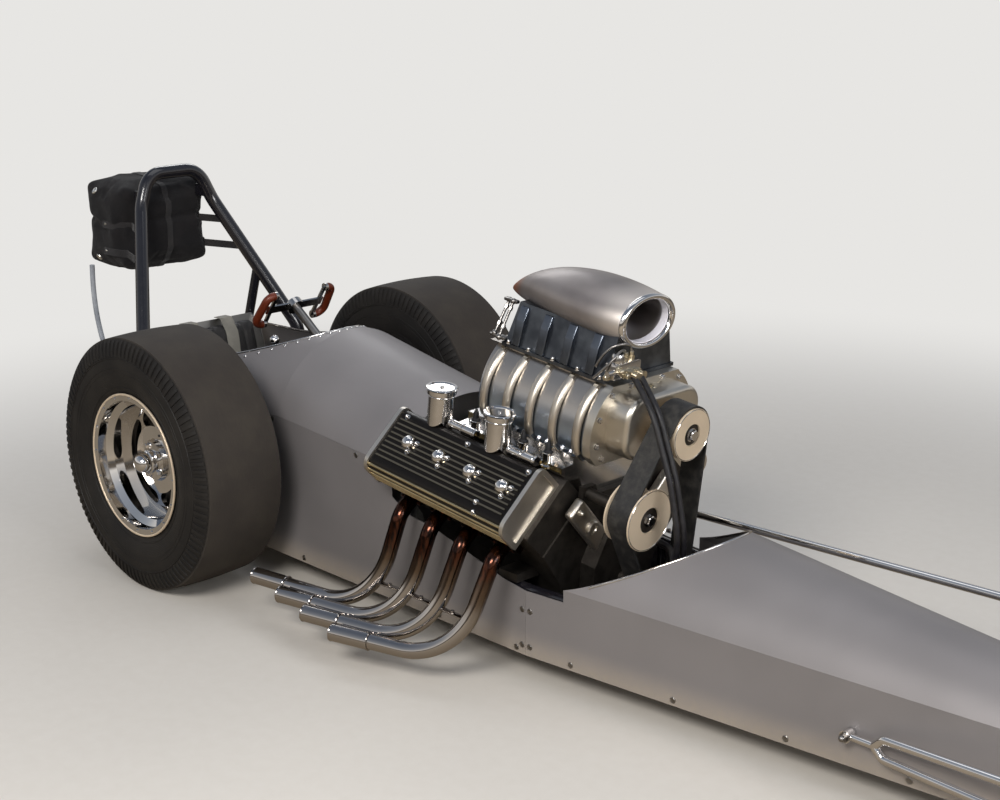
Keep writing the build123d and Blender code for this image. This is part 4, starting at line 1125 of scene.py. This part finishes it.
# %% Blower nuts, the injector's ribs and its nuts
case = surface("blower_case")
bm = bmesh.new()
for middle_x in (245, 331, 417, 503):
    for x in (middle_x - 15, middle_x + 15):
        add_nut(bm, 0.012, 0.008, seat(case, on_engine(x, -420, 385), (0, 1, 0)))
for x in (225, 300, 390, 480, 560):
    add_acorn(bm, 0.0058, spot_on(ENGINE, x, -134.5, 592))
piece("blower_nuts", bm, polished, both=True)
bm = bmesh.new()
for y, z in ((152, 390), (176, 428), (172, 500), (134, 560), (62, 574)):
    add_nut(bm, 0.013, 0.008, spot_on(ENGINE, 604.5, -y, z, (1, 0, 0)))
piece("blower_front_nuts", bm, polished, both=True)

# a rounded crown follows each rib of the case up its side
CROWN = [(-13, -9), (-12, -3), (-8, 0.8), (0, 2.2), (8, 0.8), (12, -3), (13, -9)]
CROWN_HEIGHTS = (394, 404, 420, 440, 460, 480, 498, 510, 522, 534, 546, 558, 570)
rib_crown = metal("rib_crowns", "cdc5b9", 0.36, 0.04, 8, 0.06)
forward = ENGINE.to_3x3() @ Vector((1, 0, 0))
bm = bmesh.new()
for i in range(5):
    x = RIB_START + RIB_PITCH * i
    spots = [seat(case, on_engine(x, -420, z), (0, 1, 0), forward) for z in CROWN_HEIGHTS]
    add_loft(bm, [[spot @ (Vector((s, 0, h)) / 1000) for s, h in CROWN] for spot in spots])
piece("blower_rib_crowns", bm, rib_crown, sharp=70, both=True)

rib_metal = metal("injector_ribs", "6b717b", 0.34, 0.08, 20, 0.12)
bm = bmesh.new()
for x in (255, 345, 435, 525):
    add_slab(bm, [(-100, 594), (-137, 594), (-121.5, 661), (-107, 697), (-98, 697)],
             x - 20, x + 8, ENGINE)
bmesh.ops.bevel(bm, geom=bm.edges[:], offset=0.002, segments=2, affect="EDGES", profile=0.5,
                material=-1)
piece("injector_ribs", bm, rib_metal, both=True)
print("blower and injector fitted")

# %% Scoop: a rolled bright lip, and the linkage under its tail
bm = bmesh.new()
lip = spot_on(ENGINE, 585, 0, 733, (1, 0, 0), (0, 1, 0)) @ Matrix.Diagonal((0.097, 0.066, 1, 1))
add_turned(bm, [(1 + 0.115 * math.cos(a), 0.010 * math.sin(a))
                for a in (2 * math.pi * i / 14 for i in range(14))], lip, 96)
piece("scoop_lip", bm, chrome, sharp=60)

bm = bmesh.new()
for x, low, high in ((163, (-128, 604), (-80, 690)), (188, (-136, 600), (-90, 694))):
    ends = [on_engine(x, y, z) for y, z in (low, high)]
    add_bar(bm, *ends, 0.0042)
    for end in ends:
        bmesh.ops.create_uvsphere(bm, u_segments=16, v_segments=10, radius=0.0085,
                                  matrix=Matrix.Translation(end))
    for share in (0.25, 0.75):
        add_disc(bm, 0.0065, 0.010, place(ends[0].lerp(ends[1], share), ends[1] - ends[0]), 6)
add_block(bm, (0.050, 0.014, 0.010), spot_on(ENGINE, 176, -84, 688), 0.003)
add_block(bm, (0.060, 0.020, 0.010), spot_on(ENGINE, 180, -126, 594), 0.003)
piece("throttle_rods", bm, steel)
print("scoop fitted")

# %% Metering block with its fittings, at the front of the injector
bm = bmesh.new()
add_block(bm, (0.036, 0.104, 0.044), spot_on(ENGINE, 597, -92, 602), 0.006)
add_turned(bm, [(0, 0), (0.017, 0), (0.017, 0.018), (0.013, 0.024), (0, 0.024)],
           spot_on(ENGINE, 598, -116, 645), 28)
add_bar(bm, on_engine(612, -142, 626), on_engine(612, -168, 626), 0.007)
piece("metering_block", bm, polished)
bm = bmesh.new()
for y, z in ((-59, 613.6), (-81, 611.6)):
    add_disc(bm, 0.0135, 0.013, spot_on(ENGINE, 613, y, z, (1, 0, 0)), 6)
    add_disc(bm, 0.0108, 0.020, spot_on(ENGINE, 624, y, z, (1, 0, 0)), 24)
for x, y, z, up in ((598, -66, 646, (0, 0, 1)), (598, -88, 646, (0, 0, 1)), (615, -112, 616, (1, 0, 0)),
                    (615, -132, 632, (1, 0, 0)), (600, -144, 612, (0, -1, 0)),
                    (612, 4, 560, (1, 0, 0)), (612, -30, 566, (1, 0, 0))):
    add_disc(bm, 0.0100, 0.010, spot_on(ENGINE, x, y, z, up), 6)
    add_turned(bm, [(0, 0.010), (0.0070, 0.010), (0.0070, 0.020), (0.0050, 0.022), (0, 0.022)],
               spot_on(ENGINE, x, y, z, up), 20)
piece("fuel_fittings", bm, brass)
SMALL_LINES = [
    [(598, -66, 664), (598, -66, 684), (590, -100, 690), (560, -126, 668), (540, -133, 620)],
    [(598, -88, 664), (600, -92, 676), (604, -120, 676), (604, -150, 650), (560, -162, 600)],
]
line("small_fuel_lines", [[on_engine(*p) for p in run] for run in SMALL_LINES], 0.0034, steel)
print("fuel fittings:", 9)

# %% Front of the engine: end blocks, the nuts deep in the pulleys, and dark discs of painted shade in their wells
PULLEYS = [(0, 477.5, 71), (-135, 272, 84), (0, 0, 70)]
bm = bmesh.new()
spot = spot_on(ENGINE, 552, -129.5, 177, (1, 0, 0), (0, -0.68, 0.73))
add_block(bm, (0.196, 0.062, 0.028), spot, 0.008, 3)
for shift in (-0.078, 0.078):
    add_acorn(bm, 0.0075, spot @ Matrix.Translation((shift, 0, 0.028)))
add_turned(bm, [(0, 0.026), (0.022, 0.026), (0.022, 0.033), (0.018, 0.037), (0.010, 0.037),
                (0.008, 0.033), (0, 0.033)], spot, 32)
piece("front_blocks", bm, end_plate, both=True)

bm = bmesh.new()
well_shade_discs = bmesh.new()
pulleys = surface("drive_pulleys")
for y, z, r in PULLEYS:
    well_floor = seat(pulleys, on_engine(900, y + 6, z), -forward).translation
    middle = spot_on(ENGINE, 774, y, z, (1, 0, 0))
    hub = middle @ Matrix.Translation((0, 0, (middle.inverted() @ well_floor).z))
    # painted shade: a thin dark disc on each well's floor
    add_disc(well_shade_discs, 0.405 * r / 1000, 0.0015, hub, 48)
    add_nut(bm, 0.028, 0.013, hub @ Matrix.Translation((0, 0, 0.0015)))
    add_ring(bm, 0.97 * r / 1000, 0.0013, middle, 72, 8)
piece("pulley_bolts", bm, polished)
piece("pulley_well_shade", well_shade_discs, iron)
print("front of the engine fitted")

# %% [markdown]
# ## Headers
#
# The same bends as in the CAD pipes tell where the weld rings and the link straps sit.

# %% Header fittings
PIPE_ENDS = [(455, -545, 141), (598, -566, 131), (735, -586, 121), (876, -602, 112)]
BEND = 0.205


def pipe(i):
    """Port, the way out of it, the long bend as 25 points, the end and the way back from it."""
    port = on_engine(PORTS[i], -450 * math.sqrt(0.5), 190 * math.sqrt(0.5))
    elbow = port + Vector((0.022, -0.064, -0.021))
    end = at(*PIPE_ENDS[i])
    low = Vector((port.x - 0.022, -0.456 - 0.009 * i, end.z - 0.010))
    down, back = (low - elbow).normalized(), (end - low).normalized()
    turn = down.angle(back)
    centre = low + (back - down).normalized() * (BEND / math.cos(turn / 2))
    first = low - down * BEND * math.tan(turn / 2) - centre
    last = low + back * BEND * math.tan(turn / 2) - centre
    arc = [centre + (first * math.sin(turn * (1 - k / 24)) + last * math.sin(turn * k / 24))
           / math.sin(turn) for k in range(25)]
    return port, (elbow - port).normalized(), arc, end, back


bm = bmesh.new()
straps = []
for i in range(4):
    port, out, arc, end, back = pipe(i)
    add_ring(bm, 0.0225, 0.0030, place(port + out * 0.005, out), 40, 8)
    add_ring(bm, 0.0243, 0.0022, place(end - back * 0.119, back), 40, 8)
    add_ring(bm, 0.0233, 0.0024, place(end - back * 0.001, back), 40, 8)
    for shift in (-32, 32):
        add_nut(bm, 0.015, 0.010, spot_on(RIGHT_BANK, PORTS[i] + shift, -134, 320, (0, -1, 0)))
    straps.append(min(arc, key=lambda p: abs(p.z - 0.215)))
for a, b in zip(straps, straps[1:]):
    run = b - a
    spot = place(a, run.cross(Vector((0, 0, 1))).cross(run), run)
    middle = spot @ Matrix.Translation((run.length / 2, 0, -0.002))
    add_block(bm, (run.length - 0.030, 0.018, 0.004), middle, 0.001)
    add_nut(bm, 0.011, 0.007, middle @ Matrix.Translation((0, 0, 0.004)))
piece("header_fittings", bm, header_metal, both=True)
print("headers fitted, straps at", [round(p.x, 3) for p in straps])

# %% [markdown]
# ## Skin
#
# Quarter-turn fasteners hold the panels, and thin beads edge the two openings.

# %% Fasteners and beads
skin = surface("side_panels", "cowl", "nose_shell")


def crease_z(x):
    """Height of the side panel's upper edge."""
    return 500 + (x + 600) * 30 / 850 if x < 250 else 530 - (x - 250) * 40 / 525


def add_fastener(bm, spot):
    add_turned(bm, [(0, -0.001), (0.0085, -0.001), (0.0085, 0.0010), (0.0070, 0.0020),
                    (0.0045, 0.0012), (0, 0.0012)], spot, 20)
    add_block(bm, (0.0085, 0.0016, 0.0016), spot @ Matrix.Translation((0, 0, 0.0008)))


bm = bmesh.new()
rows = [(x, 99) for x in range(-560, 1290, 306)]
rows += [(x, crease_z(x) - 13) for x in range(-570, 760, 396)]
rows += [(x, z) for x in (1297, 1324) for z in (112, 214)]
rows += [(x, 100) for x in range(1460, 3010, 320)]
for x, z in rows:
    add_fastener(bm, seat(skin, at(x, -900, z), (0, 1, 0), (0.6, 0, 0.8)))
piece("panel_fasteners", bm, steel, both=True)

bm = bmesh.new()
for degrees in range(2, 88, 6):
    a = math.radians(degrees)
    spot = at(-350 + 597 * math.cos(a), -257 * math.sin(a), 1200)
    add_dome(bm, 0.0058, 0.0030, seat(skin, spot, (0, 0, -1)), 12)
piece("rivets", bm, polished, both=True)


def edge_bead(name, points, radius, look):
    """A bead along an opening's edge, found by looking straight down on the skin."""
    run = [seat(skin, at(x, y, 1200), (0, 0, -1)).translation for x, y in points]
    return line(name, [run], radius, look)


rim = [(-350 + 584 * math.cos(a), 244 * math.sin(a))
       for a in (math.radians(d) for d in range(-90, 91, 5))]
edge_bead("cockpit_bead", [(-590, -244)] + rim + [(-590, 244)], 0.0036, polished)
edge_bead("engine_bay_bead", [(1240 + 534 * math.cos(a), 302 * math.sin(a))
                              for a in (math.radians(d) for d in range(-60, 61, 4))],
          0.0034, polished)
print("skin fastened:", len(rows) * 2)

# %% [markdown]
# ## Front axle

# %% Pins, clevises and hub caps
bm = bmesh.new()
for z, up in ((345, 1), (225, -1)):
    add_acorn(bm, 0.011, place(at(3150, -475, z), (0, 0, up)))
for z in (261, 169):
    add_nut(bm, 0.018, 0.010, place(at(3114, -295, z), (0, -1, 0)))
add_acorn(bm, 0.010, place(at(2270, -220.8, 170), (0, -1, 0)))
piece("axle_nuts", bm, steel, both=True)
for side, word, body in ((-1, "right", "wheel_fr"), (1, "left", "wheel_fl")):
    bm = bmesh.new()
    face = place(at(3150, side * 591, 285), (0, side, 0))
    add_turned(bm, [(0, 0), (0.025, 0), (0.026, 0.004), (0.021, 0.010), (0.019, 0.022),
                    (0.012, 0.028), (0, 0.029)], face, 36)
    for i in range(3):
        turn = Matrix.Rotation(2 * math.pi * i / 3, 4, "Z")
        lobe = face @ turn @ Matrix.Translation((0.026, 0, 0.008))
        add_block(bm, (0.024, 0.013, 0.008), lobe, 0.003)
    piece(f"hub_cap_{word}", bm, chrome, body)
print("front axle fitted")

# %% [markdown]
# ## Stage and light
#
# A pale floor, a pale backdrop and large soft lamps, with a key lamp high on the camera's
# left, where the photograph's brightest reflections come from.

# %% Floor and backdrop
def stage_floor():
    bm = bmesh.new()
    bmesh.ops.create_grid(bm, x_segments=1, y_segments=1, size=60)
    mesh = bpy.data.meshes.new("floor")
    bm.to_mesh(mesh)
    bm.free()
    look = Look("floor", Roughness=0.75)
    grain = look.noise(25, 5, 0.6)
    pale = look.mix(tint("cfc9c0"), tint("d6d1c9"), grain)
    # polished metal sees warm ground in place of the pale floor
    seen_in_metal = look.node("ShaderNodeLightPath", out=3)
    look.set(Base_Color=look.mix(pale, tint("85745a"), seen_in_metal * 0.85))
    x, y, z = look.xyz()
    far = ((x * x + y * y) ** 0.5).step(1.8, 4.6)
    glow = look.node("ShaderNodeEmission", values={0: (0.80, 0.79, 0.77, 1), 1: 1.0})
    rays = look.node("ShaderNodeLightPath")
    share = far * rays
    blend = look.node("ShaderNodeMixShader", values={0: share, 1: Wire(look, look.shader.outputs[0]),
                                                     2: glow})
    look.tree.links.new(blend.socket, look.tree.nodes["Material Output"].inputs["Surface"])
    mesh.materials.append(look.material)
    floor = bpy.data.objects.new("floor", mesh)
    bpy.context.scene.collection.objects.link(floor)


stage_floor()

world = bpy.data.worlds.new("studio")
bpy.context.scene.world = world
world.use_nodes = True
tree = world.node_tree
back = tree.nodes["Background"]
coords = tree.nodes.new("ShaderNodeTexCoord")
split = tree.nodes.new("ShaderNodeSeparateXYZ")
tree.links.new(coords.outputs["Generated"], split.inputs[0])
ramp = tree.nodes.new("ShaderNodeValToRGB")
tree.links.new(split.outputs["Z"], ramp.inputs[0])
stops = ramp.color_ramp.elements
# a dark band at the horizon, haze above it and a deeper sky overhead
stops[0].position, stops[0].color = 0.0, (0.11, 0.09, 0.07, 1)
stops[1].position, stops[1].color = 0.95, (0.12, 0.15, 0.21, 1)
for height, colour in ((0.07, (0.15, 0.13, 0.11, 1)), (0.13, (0.80, 0.77, 0.73, 1)),
                       (0.45, (0.34, 0.37, 0.42, 1))):
    stops.new(height).color = colour
rays = tree.nodes.new("ShaderNodeLightPath")
white = tree.nodes.new("ShaderNodeMix")
white.data_type = "RGBA"
tree.links.new(rays.outputs["Is Camera Ray"], white.inputs[0])
tree.links.new(ramp.outputs[0], white.inputs[6])
white.inputs[7].default_value = (0.80, 0.79, 0.77, 1)
tree.links.new(white.outputs[2], back.inputs["Color"])
back.inputs["Strength"].default_value = 1.0
bpy.context.scene.view_settings.view_transform = "Standard"
print("floor and backdrop ready")


# %% Lamps
def lamp(name, where, target, size, power, colour=(1, 1, 1)):
    light = bpy.data.lights.new(name, "AREA")
    light.shape = "RECTANGLE"
    light.size, light.size_y = size
    light.energy = power
    light.color = colour
    thing = bpy.data.objects.new(name, light)
    thing.location = where
    thing.rotation_euler = (Vector(target) - Vector(where)).to_track_quat("-Z", "Y").to_euler()
    bpy.context.scene.collection.objects.link(thing)


lamp("key", (2.0, -4.8, 4.2), (0, 0, 0.5), (2.4, 1.5), 290, (1.0, 0.97, 0.93))
lamp("fill", (5.0, -0.6, 2.6), (0, 0, 0.5), (2.4, 1.6), 110)
lamp("top", (-0.6, 0.6, 5.0), (-0.3, 0, 0.4), (4.5, 2.2), 30)
lamp("rim", (-4.4, 2.6, 3.6), (-0.6, 0, 0.6), (2.4, 1.2), 40)
print("lamps:", 4)
